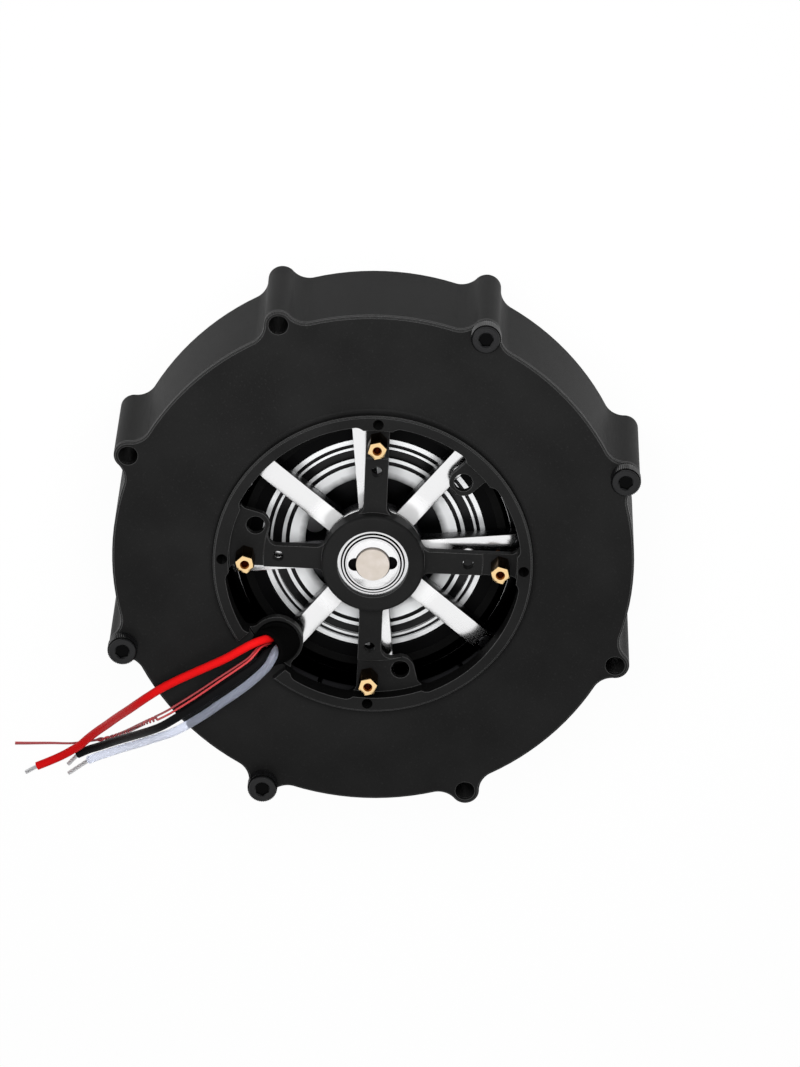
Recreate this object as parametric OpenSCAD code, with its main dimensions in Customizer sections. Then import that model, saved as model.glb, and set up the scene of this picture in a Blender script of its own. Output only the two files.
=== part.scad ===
// Robot joint module: a flat inrunner motor with a planetary gear stage in its
// bore. It lies on its front (output) face, with the open rear bracket up.
// Millimetres. The origin is on the axis, in the plane of the front face.

/* [Case] */
// Radius of the round case wall
case_r = 60.4; // [59.6:0.1:62]
// Height of the case, front face to rear face
case_h = 31; // [30.5:0.5:34]
// Thickness of the case's side wall
wall_t = 3.4; // [2.8:0.1:4]
// Thickness of the case's front wall
front_t = 5; // [4.4:0.1:5.6]
// Thickness of the rear cover's rim, outside its spigot
rim_t = 1.2; // [1:0.1:1.6]
// Thickness of the rear cover inside the case wall
cover_t = 3; // [2.6:0.1:3.4]
// Break on the outer edges of both faces
edge_break = 0.4; // [0.2:0.1:0.6]

/* [Bosses and case screws] */
// How far the boss centres stand outside the case wall
boss_out = 1.6; // [1.2:0.1:2.2]
// Radius of each boss
boss_r = 3.3; // [3:0.1:3.8]
// Radius of the hollow blend between a boss and the wall
blend_r = 5; // [3:0.5:6]
// Radius of the bolt holes
bolt_hole_r = 2.25; // [2.1:0.05:2.4]
// Radius of a case screw's shank
screw_r = 2; // [1.9:0.05:2.05]
// Radius of a case screw's head
head_r = 3.5; // [3.3:0.1:3.8]
// Height of a case screw's head
head_h = 4; // [3.6:0.1:4.4]
// Width of the hex socket in a case screw, across flats
socket_w = 3; // [2.5:0.5:3.5]

/* [Rear bracket] */
// Outer radius of the raised ring
ring_r = 37; // [36:0.5:39]
// Width of the raised ring at the windows
ring_w = 2.7; // [2.4:0.1:3]
// Height of the raised ring above the rear face
ring_h = 2.5; // [2:0.1:3]
// Radius of the hollow fillet round the raised ring
ring_fillet = 1; // [0.5:0.1:1.4]
// How far the arms lie below the rear face
arm_drop = 0.7; // [0.4:0.1:1]
// Width of each arm
arm_w = 5.4; // [5:0.1:6.4]
// How far the turned recess reaches in from the ring's outer edge
recess_in = 11.6; // [11:0.1:12.4]
// Depth of the turned recess below the arms
recess_d = 0.5; // [0.3:0.1:0.7]
// Radius of the bracket's hub
hub_r = 11.9; // [11.5:0.1:12.6]
// Height of the bracket's hub above the rear face
hub_h = 2; // [1.6:0.1:2.4]
// Fillet in the corners of the windows
window_fillet = 2.4; // [1.6:0.2:3]
// How far the cover holes lie in from the ring's outer edge
ring_hole_in = 2.1; // [1.8:0.1:2.2]
// Radius of the cover holes in the ring
ring_hole_r = 1.25; // [1.1:0.05:1.35]
// How far the holes in the arms lie in from the ring's outer edge
arm_hole_in = 15; // [14.5:0.5:16.5]
// Radius of the holes in the arms
arm_hole_r = 1.3; // [1.1:0.05:1.5]
// How far the holes in the tabs lie in from the ring's outer edge
tab_in = 8.6; // [8.2:0.1:9.2]
// Radius of the holes in the tabs
tab_hole_r = 2.15; // [1.9:0.05:2.3]
// Wall of a tab round its hole
tab_wall = 1.15; // [1:0.05:1.4]

/* [Board standoffs] */
// How far the standoffs stand in from the ring's outer edge
standoff_in = 7.5; // [7:0.1:8]
// Width of a standoff across its flats
standoff_w = 4; // [3.5:0.1:4.4]
// Height of a standoff's top above the rear face
standoff_top = 5.3; // [4.5:0.1:6]
// Radius of the tapped hole in a standoff
standoff_bore_r = 0.8; // [0.7:0.05:0.9]
// Radius of a standoff's lower stud
standoff_stud_r = 0.95; // [0.9:0.05:1]

/* [Cable boot and leads] */
// Radius on which the cable boot stands
boot_at = 30.5; // [30:0.1:31]
// Outer radius of the boot's foot
boot_r = 5.2; // [5:0.1:5.6]
// Radius of the boot's mouth
boot_mouth_r = 4.5; // [4.3:0.1:4.8]
// Wall of the boot
boot_wall = 1; // [0.8:0.1:1.2]
// Thickness of the boot's foot
boot_foot_t = 1.3; // [1.1:0.1:1.5]
// Length of the boot's leaning sleeve
boot_len = 3.6; // [3:0.2:4]
// Lean of the sleeve away from the axis
boot_lean = 38; // [34:1:42]
// Diameter of a phase lead
lead_d = 2; // [1.8:0.1:2.2]
// Diameter of a sensor lead
sense_d = 0.9; // [0.8:0.05:1]
// Diameter of the tinned strands at a lead's end
strand_d = 1.1; // [0.9:0.1:1.3]

/* [Rotor] */
// Number of spokes
spokes = 8; // [6:1:8]
// Turn of the spokes from the window centres
spoke_turn = 6.5; // [4:0.5:8]
// Width of a spoke
spoke_w = 5; // [4.5:0.1:5.6]
// Thickness of a spoke
spoke_t = 4; // [3.5:0.1:4.2]
// How far the spokes lie below the rear face
spoke_drop = 4.9; // [4.6:0.1:5.2]
// Length of a spoke's foot
foot_len = 3.5; // [3.2:0.1:3.9]
// Depth of the step to the spoke's foot
spoke_step = 1.2; // [0.8:0.1:1.6]
// Radius of the rotor's hub
rotor_hub_r = 11.5; // [11:0.1:12]
// Thickness of the rotor's back-iron ring
iron_t = 3.4; // [3:0.1:3.8]
// Thickness of a rotor magnet
magnet_t = 2.4; // [2:0.1:2.8]
// Number of rotor magnets
magnets = 20; // [16:2:24]
// Clearance between rotor magnets and stator teeth
air_gap = 0.6; // [0.5:0.05:0.8]
// Radius of the encoder magnet
sense_magnet_r = 3.85; // [3.6:0.05:4.1]
// Thickness of the encoder magnet
sense_magnet_t = 2.5; // [2:0.1:2.6]
// How far the encoder magnet stands out of the shaft
sense_magnet_out = 0.8; // [0.5:0.1:1]

/* [Stator] */
// Number of stator teeth
slots = 24; // [18:6:24]
// Height of the stator's stack
stack_h = 10; // [9:0.5:10.5]
// Thickness of the stator's back ring
yoke_t = 4.4; // [4:0.1:5]
// Width of a stator tooth
tooth_w = 4; // [3.6:0.1:4.2]
// Thickness of a coil beside its tooth
coil_t = 2.4; // [2:0.1:2.5]

/* [Gear stage] */
// Wall of the ring gear behind its teeth
gear_rim = 3.992; // [3.8:0.004:4.2]
// Teeth on the sun gear
sun_teeth = 12; // [12]
// Teeth on each planet gear
planet_teeth = 24; // [24]
// Play taken off each tooth at the pitch circle
backlash = 0.08; // [0.06:0.01:0.12]
// Radius of the planets' pins
pin_r = 2.5; // [2.3:0.1:2.8]
// Wall of the planets' bushes
bush_t = 1; // [0.8:0.1:1.2]
// Share of the case's radius that the gear stage takes
gear_share = 0.48; // [0.475:0.005:0.485]
// Wall of the housing's tube round the ring gear
tube_t = 2; // [1.8:0.1:2.1]
// Thickness of the carrier's rear plate
carrier_t = 1.5; // [1.4:0.1:1.6]
// Thickness of the gear stage's cap
cap_t = 1.4; // [1.3:0.1:1.5]

/* [Output] */
// How far the output flange sits behind the front face
flange_recess = 0.5; // [0.3:0.1:0.8]
// Radial height of the output bearing
out_bearing_t = 6.5; // [6.2:0.1:6.8]
// Width of the output bearing
out_bearing_w = 7; // [6.8:0.1:7.2]
// Depth of the lip that holds the output bearing
lip_t = 1.4; // [1.3:0.1:1.6]
// How far the lip reaches in under the output bearing
lip_in = 2; // [1.6:0.1:2.4]
// Width of the output seal
seal_w = 2.5; // [2.2:0.1:2.7]
// Radius on which the output bolts lie
out_bolt_at = 17; // [16:0.5:18]
// Radius of the output flange's tapped holes
out_bolt_r = 1.65; // [1.6:0.05:2]
// Depth of the output flange's tapped holes
out_bolt_d = 5; // [4:0.5:5]
// Radius of the output pilot
pilot_r = 6; // [5:0.5:7]
// Depth of the output pilot
pilot_d = 3; // [2.5:0.1:3]

/* [Bearings] */
// Radius of the rotor shaft in its rear bearing
shaft_r = 6; // [5.9:0.1:6.1]
// Radial height of the rear bearing
rear_bearing_t = 3; // [2.9:0.1:3.1]
// Width of the rear bearing
rear_bearing_w = 4; // [3.8:0.1:4]
// Radius of the sun gear's nose in its bearing
nose_r = 2.5; // [2.4:0.1:2.6]
// Radial height of the nose bearing
nose_bearing_t = 3; // [2.9:0.1:3.1]
// Width of the nose bearing
nose_bearing_w = 4; // [3.5:0.1:4]

/* [Hidden] */
$fn = 96;

// Clearances
fit_gap = 0.01;     // pressed or screwed joints
run_gap = 0.03;     // running joints
slide_gap = 0.2;    // parts that pass without touching
turn_gap = 0.3;     // flat parts that turn past each other
wide_gap = 1.2;     // rotor past fixed parts
hub_gap = 1.3;      // rotor over the gear stage's tube
eps = 0.01;         // overshoot of a cut
cross_gap = 0.02;   // a fillet crosses the edges that it joins by this much

// Counts and angles
bosses = 8;
boss_turn = 360 / bosses / 2;
arms = 4;
arm_turn = 45;
tabs = 3;
tab_turn = 90;
planets = 3;
planet_turn = 90;
out_bolts = 6;
boot_turn = 270;
boot_swing = 40;

// Case
boss_at = case_r + boss_out;
case_bore = case_r - wall_t;
housing_h = case_h - rim_t;
cover_z = case_h - cover_t;
window_r = ring_r - ring_w;
recess_r = ring_r - recess_in;
ring_hole_at = ring_r - ring_hole_in;
arm_hole_at = ring_r - arm_hole_in;
tab_at = ring_r - tab_in;
standoff_at = ring_r - standoff_in;
tab_r = tab_hole_r + tab_wall;
recess_wall_r = window_r - 0.9;
arm_z = case_h - arm_drop;
recess_z = arm_z - recess_d;
hub_z = case_h + hub_h;
boot_foot_z = recess_z + boot_foot_t;
screw_len = 20;
screw_z = case_h - screw_len;

// Rear bearing and shaft
rear_seat_r = shaft_r + rear_bearing_t;
rear_lip_t = 1;
rear_bearing_z = hub_z - rear_lip_t - rear_bearing_w;
rear_lip_r = rear_seat_r - 0.8;
shaft_top = hub_z - 0.6;

// Gears
tube_bore = gear_share * case_r;
tube_r = tube_bore + tube_t;
ring_teeth = sun_teeth + 2 * planet_teeth;
foot_share = 1.25;
tip_share = 0.8;
gear_module = (tube_bore - gear_rim) / (ring_teeth / 2 + foot_share);
gear_angle = 20;
addendum = tip_share * gear_module;
dedendum = foot_share * gear_module;
sun_pitch = gear_module * sun_teeth / 2;
planet_pitch = gear_module * planet_teeth / 2;
ring_pitch = gear_module * ring_teeth / 2;
planet_at = sun_pitch + planet_pitch;
flank_steps = 4;

// Heights of the rotor
spoke_top = case_h - spoke_drop;
spoke_z = spoke_top - spoke_t;
rotor_hub_z = spoke_z - 0.6;

// Heights of the gear stage. The gears are as wide as the rotor leaves room for.
cap_foot_t = 0.8;
retainer_t = 1.2;
out_bearing_z = lip_t;
gear_z = out_bearing_z + out_bearing_w + 2 * turn_gap;
tube_top = rotor_hub_z - hub_gap;
gear_top = tube_top - cap_foot_t - retainer_t - carrier_t - 2 * slide_gap - turn_gap;
gear_w = gear_top - gear_z;
carrier_z = gear_top + slide_gap;
carrier_top = carrier_z + carrier_t;
flange_top = gear_z - turn_gap;
cap_z = carrier_top + turn_gap;
cap_top = cap_z + cap_t;
cap_foot_w = 2.9;
cap_r = tube_bore - cap_foot_w;
cap_bore = 16 / 29 * tube_bore;
cap_land_w = 0.7;
cap_edge_w = 1.1;
cap_groove_w = 0.7;
cap_hollow_w = 2.1;
cap_groove_d = 0.5;
cap_hollow_d = 0.9;
nose_bearing_z = flange_top - nose_bearing_w;
pillar_r = 3.2;
pillar_at = 15.5;
pin_z = 6.2;
carrier_screw_r = 1.45;
carrier_head_r = 2.6;
carrier_head_t = 1.1;

// Rotor
iron_bore = tube_r + wide_gap;
iron_r = iron_bore + iron_t;
rotor_r = iron_r + magnet_t;
iron_z = front_t + 3;
foot_r = iron_r - slide_gap;
foot_top = spoke_top - spoke_step;
spoke_step_r = foot_r - foot_len;
foot_screw_at = (iron_bore + iron_r) / 2 + 0.3;
foot_screw_r = 1;
foot_screw_len = 3.5;
foot_head_r = 1.6;
foot_head_h = 1.1;
foot_socket_w = 1.5;
shank_r = 3.6;

// Stator
stator_r = case_bore - fit_gap;
stator_bore = rotor_r + air_gap;
stack_z = (front_t + spoke_top - stack_h) / 2 - 0.5;
tip_t = 1.2;
slot_mouth = 1.6;
coil_over = 2.8;

// Bearings
rear_mid = shaft_r + 0.43 * rear_bearing_t;
nose_mid = nose_r + nose_bearing_t / 2;
out_bore_r = tube_bore - out_bearing_t;
out_race_mid = (out_bore_r + tube_bore) / 2;
lip_r = tube_bore - lip_in;
flange_r = lip_r - seal_w - turn_gap;
out_ball_r = 1.9;
rear_ball_r = 0.8;
nose_ball_r = 0.8;

// Shield of the rear bearing: a flat rim, a sunk web and a raised bead
rear_inner_step_r = shaft_r + 0.45;
shield_t = 0.6;
shield_web_t = 0.2;
shield_bead_h = 0.3;
shield_r = rear_mid + 0.62;
shield_web_r = shield_r - 0.52;
shield_bead_r = shield_web_r - 0.26;
shield_bore_r = rear_inner_step_r + slide_gap + 0.06;

function polar(r, a) = [r * cos(a), r * sin(a)];

// Copies the children count times round the axis, from angle first
module around(count, first = 0, r = 0) {
  for (i = [0 : count - 1])
    rotate(first + i * 360 / count) translate([r, 0]) children();
}

module tube(outer, inner, h) {
  difference() {
    cylinder(r = outer, h = h);
    translate([0, 0, -eps]) cylinder(r = inner, h = h + 2 * eps);
  }
}

// Outline of the case: a round body, its bosses and their hollow blends.
// Each blend is the corner between the two circle centres and its own centre,
// less the blend's circle, so every edge is a true arc.
module case_outline(inset = 0) {
  body_r = case_r - inset;
  knob_r = boss_r - inset;
  hollow_r = blend_r + inset;
  reach = body_r + hollow_r;
  swing = acos((boss_at * boss_at + reach * reach - pow(knob_r + hollow_r, 2))
    / (2 * boss_at * reach));
  circle(r = body_r, $fn = 256);
  for (i = [0 : bosses - 1]) rotate(boss_turn + i * 360 / bosses) {
    translate([boss_at, 0]) circle(r = knob_r);
    for (side = [-1, 1]) difference() {
      polygon([[0, 0], [boss_at, 0], polar(reach, side * swing)]);
      translate(polar(reach, side * swing)) circle(r = hollow_r + cross_gap);
    }
  }
}

module bolt_holes(r, first, z, h) {
  for (k = [0, 1], side = [-1, 1])
    rotate(first + k * 180 + side * boss_turn)
      translate([boss_at, 0, z - eps]) cylinder(r = r, h = h + 2 * eps);
}

// Bosses left free for the user lie either side of X, the screws either side of Y
module free_holes(z, h) bolt_holes(bolt_hole_r, 0, z, h);

module front_housing() {
  color([0.16, 0.16, 0.17]) difference() {
    union() {
      linear_extrude(edge_break) case_outline(edge_break);
      translate([0, 0, edge_break]) linear_extrude(housing_h - edge_break) case_outline();
    }
    translate([0, 0, front_t]) difference() {
      cylinder(r = case_bore, h = case_h, $fn = 256);
      cylinder(r = tube_r, h = tube_top - front_t);
    }
    translate([0, 0, lip_t]) cylinder(r = tube_bore, h = case_h);
    translate([0, 0, -eps]) cylinder(r = lip_r, h = case_h);
    free_holes(0, case_h);
    bolt_holes(screw_r + fit_gap, 90, screw_z - 2, case_h);
  }
}

// Windows between the arms: a round opening less the hub, the arms, the tabs and
// the boot's plate, with a round fillet in each of their corners
module windows() {
  boot_plate_r = boot_r + 0.9;
  difference() {
    circle(r = window_r, $fn = 256);
    circle(r = hub_r);
    around(arms, arm_turn) {
      translate([0, -arm_w / 2]) square([ring_r, arm_w]);
      for (side = [-1, 1]) {
        corner(hub_r, 1, arm_w / 2, side);
        corner(window_r, -1, arm_w / 2, side);
      }
    }
    around(tabs, tab_turn) tongue(tab_at, tab_r);
    for (side = [-1, 1]) rotate(boot_turn + side * 60) tab_plate(side);
    rotate(boot_turn) tongue(boot_at, boot_plate_r);
  }
}

// Round-ended plate that stands inwards from the ring, along X
module tongue(at, r) {
  translate([at, 0]) circle(r = r);
  translate([at, -r]) square([ring_r - at, 2 * r]);
  for (side = [-1, 1]) corner(window_r, -1, r, side);
}

// Plate between a tab and the arm beside it, on one side of the tab's axis X
module tab_plate(side) {
  inner_r = tab_at - tab_r;
  to_arm = 60 - arm_turn;
  difference() {
    polygon([[0, 0], [ring_r, 0], polar(ring_r, -side * to_arm)]);
    circle(r = inner_r);
  }
  rotate(-side * to_arm) corner(inner_r, -1, arm_w / 2, side);
}

// Fillet between an edge that runs along X at a distance off it, and a circle
// round the axis: outside the circle for way 1, inside it for way -1
module corner(r, way, off, side) {
  at = r + way * window_fillet;
  x = sqrt(at * at - pow(off + window_fillet, 2));
  centre = [x, off + window_fillet];
  mirror([0, side < 0 ? 1 : 0]) difference() {
    polygon([
      [sqrt(r * r - off * off) - way, off - 0.5], [x, off - 0.5], [x, off],
      centre, centre * r / at, centre * (r - way) / at
    ]);
    translate(centre) circle(r = window_fillet + cross_gap, $fn = 64);
  }
}

// Section of the raised ring with its hollow fillet, turned round the axis
module raised_ring() {
  translate([0, 0, case_h]) rotate_extrude($fn = 240) difference() {
    union() {
      translate([window_r - 2, -cover_t]) square([ring_r - window_r + 2 - edge_break, cover_t + ring_h]);
      translate([window_r - 2, -cover_t])
        square([ring_r - window_r + 2, cover_t + ring_h - edge_break]);
      translate([ring_r - eps, -eps]) square(ring_fillet + eps);
    }
    translate([ring_r + ring_fillet, ring_fillet]) circle(r = ring_fillet);
  }
}

module bracket_hub() {
  round_r = 0.8;
  translate([0, 0, cover_z]) rotate_extrude() union() {
    square([hub_r, hub_z - cover_z - round_r]);
    square([hub_r - round_r, hub_z - cover_z]);
    translate([hub_r - round_r, hub_z - cover_z - round_r]) circle(r = round_r);
  }
}

module rear_cover() {
  color([0.12, 0.12, 0.13]) difference() {
    union() {
      difference() {
        union() {
          translate([0, 0, housing_h])
            linear_extrude(rim_t - edge_break) case_outline();
          translate([0, 0, case_h - edge_break])
            linear_extrude(edge_break) case_outline(edge_break);
          translate([0, 0, cover_z])
            cylinder(r = case_bore - fit_gap, h = cover_t - eps, $fn = 256);
          raised_ring();
        }
        translate([0, 0, arm_z]) cylinder(r = recess_wall_r, h = case_h);
        translate([0, 0, recess_z]) difference() {
          cylinder(r = recess_wall_r, h = case_h);
          translate([0, 0, -eps]) cylinder(r = recess_r, h = case_h);
        }
      }
      bracket_hub();
    }
    translate([0, 0, cover_z - 1]) linear_extrude(2 * cover_t + ring_h) windows();
    translate([0, 0, cover_z - eps])
      cylinder(r = rear_seat_r + fit_gap, h = rear_bearing_z + rear_bearing_w - cover_z + eps);
    translate([0, 0, cover_z]) cylinder(r = rear_lip_r, h = case_h);
    free_holes(0, case_h + ring_h);
    bolt_holes(bolt_hole_r, 90, 0, case_h + ring_h);
    around(arms, arm_turn, ring_hole_at) translate([0, 0, cover_z - 1])
      cylinder(r = ring_hole_r, h = case_h);
    around(arms, arm_turn, arm_hole_at) translate([0, 0, cover_z - 1])
      cylinder(r = arm_hole_r, h = case_h);
    around(arms, arm_turn, standoff_at) translate([0, 0, cover_z - 1])
      cylinder(r = standoff_stud_r + fit_gap, h = case_h);
    around(tabs, tab_turn, tab_at) translate([0, 0, cover_z - 1])
      cylinder(r = tab_hole_r, h = case_h);
    rotate(boot_turn) translate([boot_at, 0, 0]) {
      cylinder_to(boot_r - boot_wall + fit_gap, 0, case_h);
      cylinder_to(boot_r + slide_gap, recess_z, hub_z + ring_h);
      translate([0, -boot_r - 1.8, case_h])
        cube([ring_r + 2 * ring_fillet - boot_at, 2 * boot_r + 2.1, ring_h + 1]);
    }
  }
}

module hex_prism(w, h) cylinder(r = w / sqrt(3), h = h, $fn = 6);

module cap_screw(r, hr, hh, len, socket) {
  difference() {
    union() {
      translate([0, 0, -len]) cylinder(r = r, h = len + eps);
      cylinder(r = hr, h = hh - 0.4);
      cylinder(r = hr - 0.4, h = hh);
    }
    translate([0, 0, hh / 2]) hex_prism(socket, hh);
  }
}

module case_screws() {
  color([0.1, 0.1, 0.11])
    for (k = [0, 1], side = [-1, 1])
      rotate(90 + k * 180 + side * boss_turn) translate([boss_at, 0, case_h])
        cap_screw(screw_r, head_r, head_h, screw_len, socket_w);
}

module board_standoffs() {
  top = case_h + standoff_top - recess_z;
  color([0.8, 0.6, 0.3])
    around(arms, arm_turn, standoff_at) translate([0, 0, recess_z]) difference() {
      union() {
        rotate(-arm_turn) hex_prism(standoff_w, top);
        translate([0, 0, cover_z - recess_z]) cylinder(r = standoff_stud_r, h = recess_z - cover_z + eps);
      }
      translate([0, 0, 1]) cylinder(r = standoff_bore_r, h = top);
      translate([0, 0, top - 0.4])
        cylinder(r1 = standoff_bore_r, r2 = standoff_bore_r + 0.5, h = 0.5);
    }
}

// Rubber boot: a foot in the bracket's pocket, a neck down through the bracket
// and a short sleeve that leans over the ring, trimmed level with the foot's top
module cable_boot() {
  neck_r = boot_r - boot_wall;
  bore_r = neck_r - boot_wall;
  color([0.08, 0.08, 0.08]) rotate(boot_turn) translate([boot_at, 0, 0]) difference() {
    union() {
      cylinder_to(neck_r, cover_z, boot_foot_z);
      cylinder_to(boot_r, recess_z, boot_foot_z);
      boot_sleeve(neck_r, boot_mouth_r, 0);
    }
    cylinder_to(bore_r, 0, boot_foot_z);
    boot_sleeve(bore_r, boot_mouth_r - boot_wall, eps);
  }
}

// Leaning cone, trimmed at the top of the boot's foot
module boot_sleeve(r1, r2, more) {
  below = boot_r;
  difference() {
    translate([0, 0, boot_foot_z]) rotate(-boot_swing) rotate([0, boot_lean, 0])
      translate([0, 0, -below]) cylinder(r1 = r1, r2 = r2, h = below + boot_len + more);
    cylinder_to(4 * boot_r, 0, boot_foot_z - (more > 0 ? 2 * eps : eps));
  }
}

// Stator

module stator_core() {
  color([0.45, 0.46, 0.48]) translate([0, 0, stack_z]) linear_extrude(stack_h) difference() {
    union() {
      difference() {
        circle(r = stator_r, $fn = 256);
        circle(r = stator_r - yoke_t, $fn = 256);
      }
      circle(r = stator_bore + tip_t, $fn = 192);
      around(slots, 0, stator_bore + tip_t / 2) translate([0, -tooth_w / 2])
        square([stator_r - stator_bore - yoke_t / 2, tooth_w]);
    }
    circle(r = stator_bore, $fn = 192);
    around(slots, 180 / slots, stator_bore - 1) translate([0, -slot_mouth / 2])
      square([tip_t + 2, slot_mouth]);
  }
}

module round_rect(w, h, r) {
  square([w - 2 * r, h], center = true);
  square([w, h - 2 * r], center = true);
  for (x = [-1, 1], y = [-1, 1])
    translate([x * (w / 2 - r), y * (h / 2 - r)]) circle(r = r, $fn = 24);
}

// One coil lies round each tooth, between the tooth tips and the back ring
module stator_coils() {
  coil_in = stator_bore + tip_t + slide_gap;
  coil_out = stator_r - yoke_t - 2 * slide_gap;
  color([0.72, 0.4, 0.2])
    around(slots, 0, coil_in) translate([0, 0, stack_z + stack_h / 2])
      rotate([90, 0, 90]) linear_extrude(coil_out - coil_in) difference() {
        round_rect(tooth_w + 2 * coil_t, stack_h + 2 * coil_over, coil_t);
        square([tooth_w + 2 * fit_gap, stack_h + 2 * fit_gap], center = true);
      }
}

// Gears

function involute_turn(a) = tan(a) - a * PI / 180;

// Half the angle of a tooth at radius r
function half_tooth(teeth, pitch_r, r, thin) =
  let(base_r = pitch_r * cos(gear_angle))
  90 / teeth - thin / pitch_r * 90 / PI
    + (involute_turn(gear_angle) - involute_turn(acos(min(1, base_r / max(r, base_r))))) * 180 / PI;

// Outline of a gear with a tooth on the X axis. It is thinned by thin at the
// pitch circle, or widened by a negative thin to cut an inner gear.
function gear_outline(teeth, pitch_r, up, down, thin) =
  let(
    foot = pitch_r - down,
    start = max(foot, pitch_r * cos(gear_angle)),
    tip = pitch_r + up,
    radii = [for (k = [0 : flank_steps]) start + (tip - start) * k / flank_steps],
    rise = [for (r = radii) [r, half_tooth(teeth, pitch_r, r, thin)]],
    side = concat([[foot, half_tooth(teeth, pitch_r, start, thin)]], start > foot ? rise : [
      for (k = [1 : flank_steps]) rise[k]]),
    last = len(side) - 1
  )
  [for (i = [0 : teeth - 1]) each concat(
    [for (k = [0 : last]) polar(side[k][0], i * 360 / teeth - side[k][1])],
    [for (k = [last : -1 : 0]) polar(side[k][0], i * 360 / teeth + side[k][1])]
  )];

module ring_gear() {
  color([0.5, 0.5, 0.52]) translate([0, 0, out_bearing_z + out_bearing_w]) difference() {
    cylinder(r = tube_bore - fit_gap, h = cap_z - out_bearing_z - out_bearing_w);
    translate([0, 0, -eps])
      cylinder(r = out_race_mid + race_gap(out_ball_r), h = turn_gap + eps);
    translate([0, 0, -eps]) linear_extrude(case_h) rotate(180 / ring_teeth)
      polygon(gear_outline(ring_teeth, ring_pitch, dedendum, addendum, -backlash));
  }
}

module sun_gear() {
  color([0.6, 0.6, 0.62]) union() {
    cylinder_to(nose_r, nose_bearing_z, gear_z + eps);
    cylinder_to(nose_r + 0.8, flange_top, gear_z + eps);
    translate([0, 0, gear_z]) linear_extrude(gear_w + eps)
      polygon(gear_outline(sun_teeth, sun_pitch, addendum, dedendum, backlash));
    translate([0, 0, gear_top]) cylinder(r = shank_r, h = spoke_top - gear_top);
  }
}

module planet_place(k) {
  rotate(planet_turn + k * 360 / planets) translate([planet_at, 0]) children();
}

module planet_gear(k) {
  color([0.62, 0.62, 0.64]) planet_place(k) translate([0, 0, gear_z]) difference() {
    rotate(180 / planet_teeth) linear_extrude(gear_w)
      polygon(gear_outline(planet_teeth, planet_pitch, addendum, dedendum, backlash));
    translate([0, 0, -eps]) cylinder(r = pin_r + bush_t + run_gap, h = gear_w + 2 * eps);
  }
}

module planet_bush(k) {
  color([0.7, 0.52, 0.28]) planet_place(k) translate([0, 0, gear_z])
    tube(pin_r + bush_t + run_gap - fit_gap, pin_r + run_gap, gear_w);
}

module planet_gear_1() planet_gear(0);
module planet_gear_2() planet_gear(1);
module planet_gear_3() planet_gear(2);
module planet_bush_1() planet_bush(0);
module planet_bush_2() planet_bush(1);
module planet_bush_3() planet_bush(2);

module planet_pins() {
  color([0.66, 0.66, 0.68])
    for (k = [0 : planets - 1]) planet_place(k)
      translate([0, 0, pin_z]) cylinder(r = pin_r, h = carrier_top - pin_z);
}

// Turned cap over the gears: flat lands between grooves, then a cone
module gearbox_cap() {
  low = cap_z;
  top = cap_top;
  edge = cap_r - cap_edge_w;
  land = edge - cap_groove_w - cap_land_w;
  inner = land - cap_hollow_w;
  cone = inner - cap_edge_w - cap_groove_w;
  color([0.8, 0.8, 0.82]) rotate_extrude($fn = 192) polygon([
    [cap_bore, low], [tube_bore - fit_gap, low],
    [tube_bore - fit_gap, low + cap_foot_t], [cap_r, low + cap_foot_t],
    [cap_r, top], [edge, top],
    [edge, top - cap_groove_d], [land + cap_land_w, top - cap_groove_d],
    [land + cap_land_w, top], [land, top],
    [land, top - cap_hollow_d], [inner, top - cap_hollow_d],
    [inner, top], [cone + cap_groove_w, top],
    [cone + cap_groove_w, top - cap_groove_d], [cone, top - cap_groove_d],
    [cone, top], [cap_bore, low + 0.3]
  ]);
}

// Threaded ring that holds the cap down, with two spanner slots
module cap_retainer() {
  color([0.1, 0.1, 0.11]) translate([0, 0, cap_z + cap_foot_t]) difference() {
    tube(tube_bore - fit_gap, cap_r + slide_gap, retainer_t);
    translate([-tube_bore, -1, retainer_t / 2]) cube([2 * tube_bore, 2, retainer_t]);
  }
}

// Output

module output_flange() {
  color([0.5, 0.5, 0.52]) difference() {
    union() {
      translate([0, 0, flange_recess]) cylinder(r = flange_r, h = out_bearing_z - flange_recess);
      translate([0, 0, flange_recess])
        cylinder(r = out_bore_r - fit_gap, h = flange_top - flange_recess);
      around(planets, planet_turn + 180 / planets, pillar_at)
        cylinder_to(pillar_r, flange_top - eps, carrier_z);
    }
    translate([0, 0, flange_recess - eps]) cylinder(r = pilot_r, h = pilot_d + eps);
    around(out_bolts, 0, out_bolt_at) translate([0, 0, flange_recess - eps])
      cylinder(r = out_bolt_r, h = out_bolt_d + eps);
    translate([0, 0, nose_bearing_z])
      cylinder(r = nose_r + nose_bearing_t + fit_gap, h = case_h);
    for (k = [0 : planets - 1]) planet_place(k)
      translate([0, 0, pin_z]) cylinder(r = pin_r + fit_gap, h = case_h);
    around(planets, planet_turn + 180 / planets, pillar_at)
      translate([0, 0, flange_top - 1]) cylinder(r = carrier_screw_r + fit_gap, h = case_h);
  }
}

module cylinder_to(r, low, high) translate([0, 0, low]) cylinder(r = r, h = high - low);

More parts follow.
